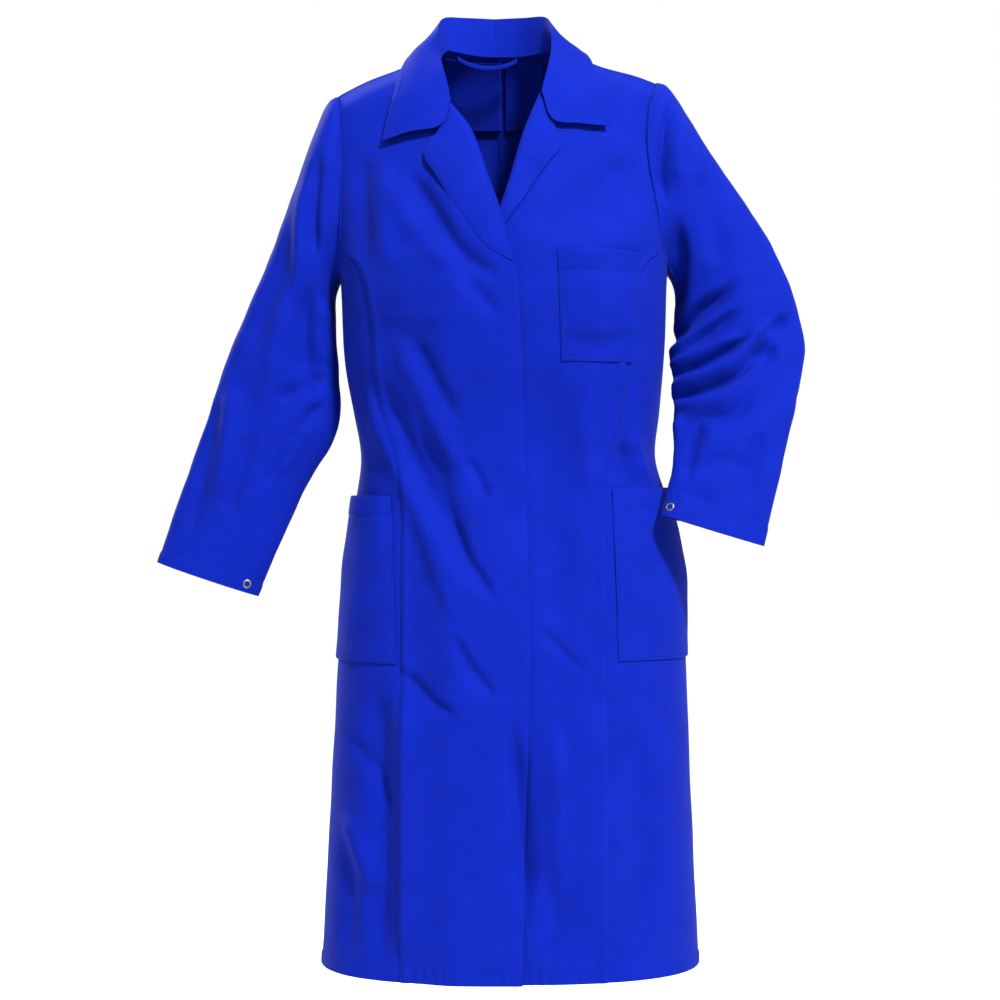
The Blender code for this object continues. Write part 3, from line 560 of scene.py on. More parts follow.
def front_folds():
    """The folds of the front, which spread from its landmarks."""
    pocket_r_foot = corner("hip_pocket_right", 1, 0)
    pocket_l, pocket_l_foot = corner("hip_pocket_left", 0, 1), corner("hip_pocket_left", 0, 0)
    chest = corner("chest_pocket", 0, 1)
    arm_r, arm_l = (-along(ARMHOLE[RIGHT], -0.25), UNDERARM_Z), (along(ARMHOLE[LEFT], -0.25), UNDERARM_Z)
    closing = (along(RIGHT_EDGE, WAIST_Z), WAIST_Z)
    break_point = (ROLL_LINE[RIGHT][-1][1], ROLL_LINE[RIGHT][-1][0])
    hem_r, hem_l = (float(pocket_r_foot[0]), HEM_Z), (float(pocket_l_foot[0]), HEM_Z)
    return [
        # the hollow outside the right lapel, and what runs on from it below the break
        Fold(-5.2, (10, 12), *(by(p, -20, -12) for p in LAPEL[RIGHT][1][1:5]), by(break_point, -10, -20)),
        Fold(2.6, (12, 12), *(by(p, -46, -20) for p in LAPEL[RIGHT][1][1:4]), by(break_point, -52, -12)),
        Fold(-2.4, (8, 10), *near(break_point, (-60, -2), (-40, -30), (-14, -62))),
        # drags from the right bust dart down to the closing
        Fold(4.5, (14, 12), *near(arm_r, (25, -130), (50, -190), (85, -260), (115, -340), (130, -400))),
        Fold(-4.8, (12, 14), *near(arm_r, (45, -120), (75, -200), (110, -270), (135, -330))),
        Fold(3, (11, 11), *near(arm_r, (60, -80), (95, -150), (125, -210), (150, -250))),
        Fold(-3, (9, 10), *near(arm_r, (80, -80), (112, -140), (140, -185))),
        Fold(-3.8, (12, 10), *near(closing, (-115, 30), (-90, -40), (-72, -100), (-64, -160))),
        # short pulls at the closing's snaps
        Fold(-3.6, (5, 10), *near(closing, (-80, -70), (-62, -120), (-40, -155), (-26, -172))),
        Fold(-3, (5, 10), *near(closing, (-78, -200), (-60, -236), (-40, -262), (-27, -276))),
        Fold(-2.2, (5, 8), *near(closing, (-62, -10), (-48, -40), (-36, -65))),
        # the right pocket's foot pulls towards the lowest snap, and the skirt breaks below the pocket
        Fold(-3.4, (6, 11), *near(pocket_r_foot, (-4, -2), (20, -20), (45, -43), (75, -58))),
        Fold(5, (22, 18), *near(pocket_r_foot, (8, -30), (12, -110)), *near(hem_r, (14, 140), (16, 10)),
             ends=0.15),
        Fold(-6.2, (16, 14), *near(pocket_r_foot, (-22, -20), (-18, -100)), *near(hem_r, (-16, 160),
             (-18, 10)), ends=0.15),
        Fold(-3.6, (7, 9), *near(pocket_r_foot, (-60, -75), (-37, -100), (-16, -130), (-4, -165))),
        Fold(4.6, (10, 9), *near(hem_r, (-62, 180), (-42, 140), (-20, 85))),
        Fold(-4.4, (10, 10), *near(hem_r, (-60, 150), (-52, 80), (-55, 10))),
        # the left front falls back beside the closing, below the lowest snap
        Fold(-7.5, (13, 7), *near(closing, (-16, -290), (-10, -360), (-3, -440), (2, -520)), ends=0.3),
        Fold(4, (12, 14), *near(closing, (30, -280), (36, -380), (36, -500)), ends=0.3),
        # the left chest sinks between the lapel, the armhole and the pocket
        Fold(-8, (30, 26), *near(chest, (100, 112), (60, 78), (20, 42), (-20, 10)), ends=0.3),
        Fold(5, (26, 22), *near(chest, (110, 50), (75, 22), (30, -4), (-10, -20)), ends=0.3),
        Fold(-3.4, (8, 12), *near(chest, (-14, 110), (-30, 80), (-50, 46)), ends=0.35),
        # the left waist: a long soft hollow, and short creases at its side
        Fold(-5.2, (26, 26), *near(pocket_l, (-72, 160), (-74, 60), (-64, -80), (-56, -190))),
        Fold(3.6, (12, 12), *near(pocket_l, (-22, 150), (-30, 60), (-22, -30))),
        Fold(-4.6, (5, 8), *near(pocket_l, (10, 50), (20, 16), (30, -12))),
        Fold(3, (6, 6), *near(pocket_l, (22, 62), (32, 30), (38, 4))),
        Fold(-2.2, (6, 7), *near(pocket_l, (-85, -150), (-55, -180), (-26, -205))),
        # the right chest beside the armhole
        Fold(-3.4, (10, 12), *near(arm_r, (30, 125), (28, 60), (32, -10))),
        Fold(2.6, (12, 12), *near(arm_r, (54, 120), (52, 50), (58, -20))),
        # the fullness of the bust above each dart
        Fold(4, (38, 38), *near(arm_r, (85, 20), (88, -40), (85, -90))),
        Fold(3.6, (34, 34), *near(arm_l, (-82, -10), (-80, -50), (-78, -100))),
        # the cloth that hangs from each hip
        Fold(4.6, (22, 24), *near(hem_l, (-30, 320), (-26, 170), (-20, 10)), ends=0.3),
        Fold(-4.6, (16, 16), *near(hem_l, (22, 300), (30, 140), (34, 10)), ends=0.3),
        Fold(-2.2, (10, 12), *near(hem_l, (-70, 140), (-66, 70), (-68, 10))),
    ]


def back_folds():
    """The folds of the back: from the shoulder blades to the waist, then flares to the hem."""
    folds = []
    for side in (RIGHT, LEFT):
        for number, (x, height) in enumerate(((0.045, 5.6), (0.092, -5.6), (0.140, 5))):
            folds.append(Fold(height, (20, 24), (side * x, -0.58), (side * (x + 0.006), -0.78),
                              (side * (x + 0.012), HEM_Z), ends=0.35))
            folds.append(Fold(-3, (9, 12), (side * (x + 0.015), -0.30 - 0.02 * number),
                              (side * (x - 0.010), -0.40), (side * (x - 0.025), -0.49)))
        folds.append(Fold(-4, (10, 14), (side * 0.165, -0.17), (side * 0.140, -0.23),
                          (side * 0.105, -0.28)))
        folds.append(Fold(3, (10, 10), (side * 0.030, -0.44), (side * 0.075, -0.46),
                          (side * 0.115, -0.45)))
    return folds


def right_sleeve_folds():
    """On the front of the right sleeve: along the armhole, from the underarm, and down the arm."""
    arm = (-along(ARMHOLE[RIGHT], -0.25), UNDERARM_Z)
    elbow = (JOINTS["right_elbow_bend"]["pos_m"][0] - OFFSET, JOINTS["right_elbow_bend"]["pos_m"][2])
    return [
        # beside the armhole
        Fold(-5, (6, 7), *near(arm, (-20, 130), (-26, 85), (-28, 40), (-24, 0))),
        Fold(4, (8, 9), *near(arm, (-36, 110), (-42, 55), (-46, 0), (-50, -50)), ends=0.35),
        # long soft folds from the shoulder down the arm
        Fold(-4, (14, 14), *near(arm, (-50, 70), (-64, 10), (-84, -55), (-108, -120)), ends=0.4),
        Fold(4, (13, 14), *near(arm, (-56, -10), (-66, -70), (-76, -130), (-92, -190)), ends=0.35),
        Fold(-5.6, (11, 12), *near(arm, (-30, -10), (-38, -60), (-36, -110), (-30, -160)), ends=0.35),
        Fold(2.6, (8, 9), *near(arm, (-18, -40), (-20, -80), (-16, -120))),
        # from the elbow's crook across, and down the forearm
        Fold(-3.6, (8, 10), *near(elbow, (52, 0), (20, -18), (-12, -30))),
        Fold(3, (9, 9), *near(elbow, (-58, 0), (-62, -50), (-68, -105), (-78, -150))),
        Fold(-3.8, (10, 10), *near(elbow, (-74, -10), (-84, -70), (-96, -130), (-106, -185))),
        Fold(-3, (10, 12), *near(elbow, (-30, -60), (-50, -110), (-64, -170))),
        Fold(-3, (6, 7), *near(elbow, (46, -30), (26, -52), (6, -90))),
        Fold(2.4, (7, 6), *near(elbow, (34, -52), (12, -80), (-10, -120))),
        Fold(-2.4, (5, 6), *near(elbow, (18, -78), (-4, -98), (-26, -130))),
    ]


def left_sleeve_folds():
    """On the front of the left sleeve: the bent elbow throws deep folds from its crook to its point."""
    arm = (along(ARMHOLE[LEFT], -0.25), UNDERARM_Z)
    elbow = (JOINTS["left_elbow_bend"]["pos_m"][0] - OFFSET, JOINTS["left_elbow_bend"]["pos_m"][2])
    crook, point = by(elbow, -85, -20), by(elbow, 55, 35)
    return [
        # along the armhole, and the hollow below the underarm
        Fold(-5, (5, 6), *near(arm, (6, 185), (-2, 150), (-6, 105), (-2, 60))),
        Fold(3.6, (7, 7), *near(arm, (18, 165), (12, 125), (12, 80))),
        Fold(-7.5, (10, 13), *near(arm, (10, 60), (12, 10), (8, -40), (2, -85)), ends=0.35),
        Fold(-3.6, (14, 14), *near(arm, (40, 110), (50, 50), (60, -10))),
        # from the elbow's crook up towards its point, the upper creases first
        Fold(-8.5, (8, 7), *near(crook, (-12, 26), (14, 56), (40, 80), (66, 98), (86, 122)), ends=0.35),
        Fold(4.4, (6, 6), *near(crook, (-8, 17), (24, 46), (52, 68), (80, 88)), ends=0.35),
        Fold(-5.6, (8, 7), *near(crook, (22, 34), (46, 54), (72, 72), (94, 82)), ends=0.4),
        Fold(3.6, (5, 6), *near(crook, (-8, 12), (30, 30), (62, 44), (92, 58))),
        Fold(-6.6, (5, 6), *near(crook, (-4, 4), (24, 14), (52, 26), (84, 44), (104, 56)), ends=0.35),
        Fold(6.6, (9, 8), *near(crook, (-4, -9), (40, 6), (76, 23)), *near(point, (-36, 2), (-10, 20))),
        Fold(-6.6, (6, 5), *near(crook, (-4, -20), (28, -13), (56, -3), (82, 9)), *near(point, (-36, -20),
             (-14, -2))),
        Fold(4, (8, 8), *near(crook, (4, -30), (36, -22), (66, -14)), *near(point, (-44, -34), (-20, -20))),
        Fold(-4.4, (7, 8), *near(crook, (12, -48), (44, -38), (74, -34)), by(point, -32, -52), ends=0.4),
        Fold(-5.6, (8, 8), *near(point, (-46, -36), (-26, -24), (-10, -12)), ends=0.4),
        Fold(-5, (7, 7), *near(point, (-26, 0), (-10, 12), (4, 22)), ends=0.4),
        # down the forearm
        Fold(4, (6, 6), *near(elbow, (-66, -52), (-76, -82), (-86, -118))),
        Fold(-4, (10, 9), *near(elbow, (-48, -55), (-58, -90), (-66, -130))),
        Fold(-3.6, (10, 12), *near(elbow, (22, -70), (10, -110), (2, -160))),
        Fold(-2.8, (9, 9), *near(elbow, (-58, -118), (-26, -108), (12, -116))),
        Fold(-2.6, (8, 8), *near(elbow, (-72, -142), (-50, -150), (-24, -164))),
    ]


# ---- materials ----

def node(tree, kind, **inputs):
    made = tree.nodes.new(kind)
    for name, value in inputs.items():
        made.inputs[name.replace("_", " ")].default_value = value
    return made


def new_material(name):
    material = bpy.data.materials.new(name)
    material.use_nodes = True
    return material, material.node_tree, material.node_tree.nodes["Principled BSDF"]


def noise(tree, place, **inputs):
    made = node(tree, "ShaderNodeTexNoise", **inputs)
    tree.links.new(place, made.inputs["Vector"])
    return made.outputs["Fac"]


def finish_material(tree, shader, level, tones, stops, unevenness, rough, bump):
    """Colours by level from a dark to a light tone, varies the roughness, and raises level's bumps."""
    ramp = tree.nodes.new("ShaderNodeValToRGB")
    for element, stop, tone in zip(ramp.color_ramp.elements, stops, tones):
        element.position, element.color = stop, (*tone, 1)
    tree.links.new(level, ramp.inputs["Fac"])
    tree.links.new(ramp.outputs["Color"], shader.inputs["Base Color"])
    spread = node(tree, "ShaderNodeMapRange", To_Min=rough[0], To_Max=rough[1])
    tree.links.new(unevenness, spread.inputs["Value"])
    tree.links.new(spread.outputs["Result"], shader.inputs["Roughness"])
    bumps = node(tree, "ShaderNodeBump", Strength=bump[0], Distance=bump[1])
    tree.links.new(level, bumps.inputs["Height"])
    tree.links.new(bumps.outputs["Normal"], shader.inputs["Normal"])


def cloth_material(name, light, dark, roughness=0.86):
    """A cotton twill: diagonal ribs, uneven yarns and a faint cloudiness, on the cloth's own metres."""
    material, tree, shader = new_material(name)
    place = tree.nodes.new("ShaderNodeUVMap")
    place.uv_map = "cloth"
    turned = node(tree, "ShaderNodeMapping", Rotation=(0, 0, math.radians(63)))
    stretched = node(tree, "ShaderNodeMapping", Scale=(900.0, 45.0, 1.0))
    for mapping in (turned, stretched):
        tree.links.new(place.outputs["UV"], mapping.inputs["Vector"])
    ribs = node(tree, "ShaderNodeTexWave", Scale=290.0, Distortion=1.6, Detail=1.5, Detail_Scale=2.0)
    tree.links.new(turned.outputs["Vector"], ribs.inputs["Vector"])
    yarns = noise(tree, stretched.outputs["Vector"], Scale=1.0, Detail=3.0, Roughness=0.6)
    clouds = noise(tree, place.outputs["UV"], Scale=22.0, Detail=4.0, Roughness=0.55)
    specks = noise(tree, place.outputs["UV"], Scale=330.0, Detail=3.0, Roughness=0.7)
    level = None
    for pattern, share in ((ribs.outputs["Fac"], 0.22), (yarns, 0.34), (specks, 0.40), (clouds, 0.30)):
        added = tree.nodes.new("ShaderNodeMath")
        added.operation = "MULTIPLY_ADD"
        added.inputs[1].default_value, added.inputs[2].default_value = share, 0.0
        tree.links.new(pattern, added.inputs[0])
        if level:
            tree.links.new(level, added.inputs[2])
        level = added.outputs[0]
    rough = (roughness - 0.06, roughness + 0.06)
    finish_material(tree, shader, level, (dark, light), (0.42, 0.82), yarns, rough, (0.6, 0.0006))
    for key, value in (("Specular IOR Level", 0.05), ("Sheen Weight", 0.025), ("Sheen Roughness", 0.5),
                       ("Sheen Tint", (0.25, 0.35, 1.0, 1))):
        shader.inputs[key].default_value = value
    return material


def metal_material():
    """Antique brass: dark in its tarnish, brighter where it is rubbed."""
    material, tree, shader = new_material("antique_brass")
    place = tree.nodes.new("ShaderNodeTexCoord")
    spots = noise(tree, place.outputs["Object"], Scale=900.0, Detail=4.0, Roughness=0.6)
    tones = [tuple(part * share for part in ANTIQUE_BRASS) for share in (0.45, 1.6)]
    finish_material(tree, shader, spots, tones, (0.35, 0.65), spots, (0.28, 0.52), (0.25, 0.0001))
    shader.inputs["Metallic"].default_value = 1.0
    return material


TWILL = cloth_material("royal_blue_twill", ROYAL_BLUE, DEEP_BLUE)
THREAD = cloth_material("blue_thread", THREAD_BLUE, DEEP_BLUE, 0.6)
METAL = metal_material()


# ---- building cloth ----

def grid(width, length, pitch):
    columns, rows = max(int(width / pitch), 2), max(int(length / pitch), 2)
    return np.meshgrid(np.linspace(0, 1, columns + 1), np.linspace(0, 1, rows + 1))


def directions(points, core, closed):
    """The outward directions of a grid of points, away from core."""
    if closed:
        around = np.roll(points, -1, 1) - np.roll(points, 1, 1)
    else:
        around = np.gradient(points, axis=1)
    out = unit(np.cross(around, np.gradient(points, axis=0)))
    return out if np.sum(out * (points - core)) > 0 else -out


def make_object(name, verts, faces, uvs, material):
    mesh = bpy.data.meshes.new(name)
    mesh.from_pydata(verts.tolist(), [], faces)
    layer = mesh.uv_layers.new(name="cloth")
    corners = np.empty(len(mesh.loops), dtype=np.int32)
    mesh.loops.foreach_get("vertex_index", corners)
    layer.data.foreach_set("uv", uvs[corners].astype(np.float32).ravel())
    mesh.materials.append(material)
    mesh.shade_smooth()
    piece = bpy.data.objects.new(name, mesh)
    bpy.context.scene.collection.objects.link(piece)
    return piece


def make_cloth(name, points, core, lift=None, thickness=CLOTH, closed=False):
    """A closed thin shell whose outside is a grid of points, raised by lift, and faces away from core."""
    out = directions(points, core, closed)
    if lift is not None:
        points = points + out * lift[..., None]
        out = directions(points, core, closed)
    rows, columns = points.shape[:2]
    wide = float(np.mean(np.sum(np.linalg.norm(np.diff(points, axis=1), axis=-1), axis=1)))
    tall = float(np.mean(np.sum(np.linalg.norm(np.diff(points, axis=0), axis=-1), axis=0)))
    across, down = np.meshgrid(np.linspace(0, wide, columns), np.linspace(0, -tall, rows))
    number = np.arange(rows * columns).reshape(rows, columns)
    if closed:
        number = np.concatenate((number, number[:, :1]), axis=1)
    a, b = number[:-1, :-1], number[:-1, 1:]
    c, d = number[1:, 1:], number[1:, :-1]
    outer = np.stack((a, b, c, d), axis=-1).reshape(-1, 4)
    sample = outer[len(outer) // 2]
    first = points.reshape(-1, 3)[sample]
    if np.cross(first[1] - first[0], first[3] - first[0]) @ out.reshape(-1, 3)[sample[0]] < 0:
        outer = outer[:, ::-1]
    inner = outer[:, ::-1] + rows * columns
    border = [number[0], number[-1]] if closed else [number[0], number[-1], number[:, 0], number[:, -1]]
    rims = []
    used = set(zip(outer.ravel().tolist(), np.roll(outer, -1, 1).ravel().tolist()))
    for line in border:
        for p, q in zip(line[:-1].tolist(), line[1:].tolist()):
            if (p, q) not in used:
                p, q = q, p
            rims.append((q, p, p + rows * columns, q + rows * columns))
    faces = np.concatenate((outer, inner, np.array(rims)))
    verts = np.concatenate((points.reshape(-1, 3), (points - out * thickness).reshape(-1, 3)))
    verts[:, 0] += OFFSET
    uvs = np.tile(np.stack((across, down), axis=-1).reshape(-1, 2), (2, 1))
    piece = make_object(name, verts, faces.tolist(), uvs, TWILL)
    piece.data.set_sharp_from_angle(angle=math.radians(50))
    return piece


def body_core(points):
    return np.stack((np.zeros(points.shape[:2]), np.full(points.shape[:2], -0.06), points[..., 2] - 0.02), -1)


def seam_dip(distance, depth=0.0010, reach=0.0035):
    """How a seam draws the cloth in, at a distance from it."""
    return -depth * bell(distance, reach)


def hem_lift(distance, width=HEM_WIDTH):
    """The doubled cloth of a hem, with the small hollow of its stitching."""
    return 0.0007 * ease(width + 0.0015, width - 0.0015, distance) - 0.0006 * bell(distance - width, 0.0016)


def puckers(way, distance, width=HEM_WIDTH, pitch=0.0105, height=0.0009):
    """The small waves that stitching draws into a hem, by the way along it."""
    wave = np.sin(2 * math.pi * way / pitch + 1.7 * np.sin(way * 31)) * (0.6 + 0.4 * np.sin(way * 57))
    return height * wave * bell(distance - width * 0.55, width * 0.6)


def stitches(name, path, out, move=None, pitch=STITCH_PITCH, radius=STITCH_RADIUS, share=0.74):
    """A row of stitches along a path of points, each a short raised thread, sunk a little into the cloth."""
    steps = np.linalg.norm(np.diff(path, axis=0), axis=-1)
    places = np.concatenate(((0,), np.cumsum(steps)))

    def at(values, where):
        return np.stack([np.interp(where, places, values[:, k]) for k in range(3)], axis=-1)

    shares = np.array((0.0, 0.22, 0.78, 1.0))
    swell = np.array((0.35, 1.0, 1.0, 0.35))
    sides = 6
    angles = np.arange(sides) * 2 * math.pi / sides
    verts, faces = [], []
    for number in range(int(places[-1] / pitch)):
        where = number * pitch + shares * pitch * share
        middle, up = at(path, where), unit(at(out, where))
        run = unit(middle[-1] - middle[0])
        side = unit(np.cross(np.broadcast_to(run, up.shape), up))
        base = number * sides * 4
        for k in range(4):
            centre = middle[k] + up[k] * radius * (0.9 * swell[k] - 0.2)
            for angle in angles:
                way = side[k] * math.cos(angle) + up[k] * math.sin(angle)
                verts.append(centre + way * radius * swell[k])
        for k in range(3):
            for j in range(sides):
                a, b = base + k * sides + j, base + k * sides + (j + 1) % sides
                faces.append((a, b, b + sides, a + sides))
        faces.append(tuple(range(base, base + sides))[::-1])
        faces.append(tuple(range(base + 3 * sides, base + 4 * sides)))
    verts = np.array(verts) + np.array((OFFSET, 0, 0))
    piece = make_object(name, verts, faces, verts[:, (0, 2)], THREAD)
    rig.slot(piece, "coat_cloth")
    (move or rides("coat"))(piece)


def rides(body):
    return lambda piece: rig.ride(piece, body)


def front_blend(side):
    start, end = ((OFFSET + side * HINGE_X, 0.0, WAIST_Z + reach) for reach in WAIST_BLEND)
    return lambda piece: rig.blend(piece, "coat", f"{WORD[side]}_front", start=start, end=end)


def make_sheet(name, flat, points, cut_area=None, core=None, nodes=None, move=None, **shape):
    """Makes a sheet, and says what it is, what it stands for, and what it moves with.

    It faces away from the coat's middle, stands for the node of its own name and rides the coat, unless
    core, nodes or move say otherwise."""
    piece = make_cloth(f"{name}_cloth", points, body_core(points) if core is None else core, **shape)
    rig.slot(piece, "coat_cloth")
    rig.replaces(piece, *(nodes or (name,)))
    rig.sheet(piece, flat=flat, held="hung", area=cut_area)
    (move or rides("coat"))(piece)


# ---- the coat ----

FRONT_FOLDS = front_folds()
BACK_FOLDS = back_folds()


def front_field(x, z):
    """The folds of the front at a place, kept off the collar's and the lapel's own ground."""
    lift = fold_sum(FRONT_FOLDS, x, z)
    lift = lift + ripple(x, z, 0.0009, 0.11, 3) + ripple(x, z, 0.0004, 0.045, 7)
    return lift * ease(-0.02, -0.10, z) * below_shoulder(x, z)


def back_field(x, z):
    return fold_sum(BACK_FOLDS, x, z) + ripple(x, z, 0.0010, 0.12, 23)


def make_front(side):
    word = WORD[side]
    s, t = grid(0.19, 1.06, FINE)
    z = np.full(s.shape, -0.2)
    for _ in range(12):
        x = mix(front_edge(side, z), side * (front_reach(side, z) - SEAM_GAP), s)
        top = np.where(np.abs(x) > NECK_X, along(SHOULDER, x) + SEAM_GAP, NECK_SIDE[side][0][0] - SEAM_GAP)
        z = mix(top, HEM_Z, t**1.12)
    points = raised(on_front(x, z, front_lift(side, x, z)))
    edge_gap = np.abs(x - front_edge(side, z))
    seam_gap = np.abs(np.abs(x) - front_reach(side, z))
    hem_gap = z - HEM_Z
    lift = front_field(x, z)
    lift += seam_dip(seam_gap, 0.0016) * ease(-0.02, -0.06, z)
    lift += 0.0018 * bell(seam_gap - 0.0065, 0.004) * ease(UNDERARM_Z + 0.02, UNDERARM_Z - 0.01, z)
    lift += hem_lift(hem_gap) + puckers(x, hem_gap)
    turned_edge = ease(RIGHT_EDGE[0][0] + 0.01, RIGHT_EDGE[0][0] - 0.01, z)
    lift -= 0.0012 * bell(edge_gap, 0.0020) * turned_edge
    if side == RIGHT:
        for number in range(1, 6):
            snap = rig.box(f"fly_socket_{number}")
            middle = (np.array(snap[0]) + np.array(snap[1])) / 2
            away = np.hypot(x - (middle[0] - OFFSET), z - middle[2])
            lift += 0.0006 * bell(away - 0.0052, 0.0016) - 0.0005 * bell(away, 0.003)
    make_sheet(f"front_{word}", (0.27, 1.06), points, 0.190, lift=lift, move=front_blend(side),
               nodes=(f"front_{word}_upper", f"front_{word}_lower"))


def make_side(side):
    word = WORD[side]
    s, t = grid(SIDE_WIDTH, 0.80, COARSE)
    top = UNDERARM_Z + SEAM_LAP + 0.015 * np.abs(2 * s - 1) ** 2
    z = mix(top, HEM_Z, t)
    under = SEAM_LAP + 0.008 * ease(WAIST_Z + 0.03, WAIST_Z - 0.05, z)
    front = front_turn(side * (front_reach(side, z) - under + SEAM_GAP), z)
    back = back_turn(side * (along(BACK_SEAM, z) - SEAM_LAP), z)
    points = skin(mix(front, back, s), z)
    x = points[..., 0]
    # the front's folds run on into the side, and are gone by its middle
    share = ease(0.55, 0.10, s)
    lift = front_field(x, z) * share
    lift += fold_sum(BACK_FOLDS, x, z) * ease(0.45, 0.95, s)
    lift += ripple(s * SIDE_WIDTH, z, 0.0009, 0.10, 11 + side) * (1 - share)
    lift += seam_dip((1 - s) * SIDE_WIDTH, 0.0009)
    lift += seam_dip(s * SIDE_WIDTH, 0.0011) * ease(WAIST_Z - 0.02, WAIST_Z + 0.04, z)
    lift -= 0.0013 * (ease(0.055, 0.030, s) + ease(0.945, 0.970, s))
    lift += hem_lift(z - HEM_Z) + puckers(s * SIDE_WIDTH, z - HEM_Z)
    make_sheet(f"side_{word}", (0.33, 0.82), points, 0.250, lift=lift)


def make_back(side):
    word = WORD[side]
    s, t = grid(0.17, 1.05, COARSE)
    z = np.full(s.shape, -0.25)
    for _ in range(12):
        x = side * mix(-SEAM_LAP if side == LEFT else SEAM_GAP, back_reach(side, z) - SEAM_GAP, s)
        top = np.minimum(along(SHOULDER, x) + SEAM_GAP, -0.001 - SEAM_GAP)
        z = mix(top, HEM_Z, t**1.12)
    points = raised(on_back(x, z, -0.0013 * ease(0.002, -0.001, side * x)))
    lift = back_field(x, z) * ease(-0.03, -0.10, z) * below_shoulder(x, z)
    lift += seam_dip(np.abs(x), 0.0010) + seam_dip(back_reach(side, z) - np.abs(x), 0.0010)
    lift += hem_lift(z - HEM_Z) + puckers(x, z - HEM_Z)
    make_sheet(f"back_{word}", (0.21, 1.05), points, 0.175, lift=lift)


def sleeve_core(points):
    return np.broadcast_to(points.mean(axis=1, keepdims=True), points.shape)


def make_sleeve(side):
    """A sleeve in two lengths that meet on the upper arm: one bends at the shoulder, one at the elbow."""
    word = WORD[side]
    folds = right_sleeve_folds() if side == RIGHT else left_sleeve_folds()
    split, last = SLEEVE_SPLIT[side], len(SLEEVE[side]) - 1.0
    columns, whole_rows = 132, 190
    cut = int(round(whole_rows * split / last))
    beyond = np.linspace(split, last, whole_rows - cut + 1)[1:]
    places = np.concatenate((np.linspace(0, split, cut + 1), beyond))
    turn, place = np.meshgrid(np.arange(columns) * 2 * math.pi / columns, places)
    points = sleeve_ring(side, place, turn)
    x, z = points[..., 0], points[..., 2]
    front = ease(-0.25, 0.35, np.sin(turn))
    lift = fold_sum(folds, x, z) * front
    cuff = np.linalg.norm(np.array(SLEEVE[side][-1][1]) - np.array(SLEEVE[side][-2][1])) * (last - place)
    calm = ease(0.004, 0.05, cuff)
    lift += fold_sum(folds, x + 0.006, z + 0.012) * ease(0.25, -0.35, np.sin(turn)) * 0.5
    lift += (ripple(turn * 0.055, place * 0.09, 0.0011, 0.085, 5 + side)) * ease(0, 0.4, place) * calm
    lift += ripple(x, z, 0.0005, 0.035, 9 + side) * calm
    lift *= mix(0.25, 1.0, calm) * ease(0.02, 0.30, place)
    cap = np.clip(np.cos(turn), 0, 1) ** 0.7 * ease(0, 0.35, place)
    lift += CAP_RISE * bell(place - 0.45, 0.42) * cap
    from_seam = place * 0.09 - SEAM_LAP
    lift += 0.0030 * (1 - 0.8 * cap) * bell(from_seam - 0.011, 0.008) - 0.0020 * bell(from_seam, 0.004)
    seam_turn = np.abs(np.angle(np.exp(1j * (turn - 1.12 * math.pi))))
    lift += seam_dip(seam_turn * 0.055, 0.0008, 0.0025)
    lift += hem_lift(cuff) + puckers(turn * 0.05, cuff, height=0.00035)
    out = directions(points, sleeve_core(points), True)
    final = points + out * lift[..., None]
    lengths = (
        ("upper", final[: cut + 1], (f"sleeve_{word}_head", f"sleeve_{word}_upper"), *UPPER_SLEEVE_CUT[side]),
        ("lower", final[cut:], (f"sleeve_{word}_elbow", f"sleeve_{word}_lower"), *LOWER_SLEEVE_CUT[side]),
    )
    blends = {"upper": upper_arm_blend(side, final[0], final[cut]), "lower": elbow_blend(side)}
    for part, ring_points, nodes, flat, cut_area in lengths:
        make_sheet(f"sleeve_{word}_{part}", flat, ring_points, cut_area, sleeve_core(ring_points), nodes,
                   blends[part], closed=True)
    ring = int(np.argmin(np.abs(cuff[:, 0] - HEM_WIDTH)))
    loop_path = np.concatenate((final[ring], final[ring][:1]))
    loop_out = np.concatenate((out[ring], out[ring][:1]))
    stitches(f"cuff_{word}_hem_stitches", loop_path, loop_out, rides(f"{word}_forearm"))


def upper_arm_blend(side, armhole, end_ring):
    """The cloth stays with the coat along the whole armhole, and is all on the arm where the length ends."""
    way = np.array((side * math.cos(SLEEVE_SLOPE), 0.0, -math.sin(SLEEVE_SLOPE)))
    base = np.array((OFFSET, 0.0, 0.0))
    start, end = base + way * np.max(armhole @ way), base + way * np.min(end_ring @ way)
    return lambda piece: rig.blend(piece, "coat", f"{WORD[side]}_arm", start=start.tolist(), end=end.tolist())


def elbow_blend(side):
    pivot = np.array(JOINTS[f"{WORD[side]}_elbow_bend"]["pos_m"])
    first, last = (np.array(((o[0] + i[0]) / 2, y, (o[1] + i[1]) / 2))
                   for o, i, y, _ in (SLEEVE[side][2], SLEEVE[side][-1]))
    way = unit(last - first)
    start, end = pivot + way * ELBOW_BLEND[0], pivot + way * ELBOW_BLEND[1]
    return lambda piece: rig.blend(piece, f"{WORD[side]}_arm", f"{WORD[side]}_forearm",
                                  start=tuple(start.tolist()), end=tuple(end.tolist()))


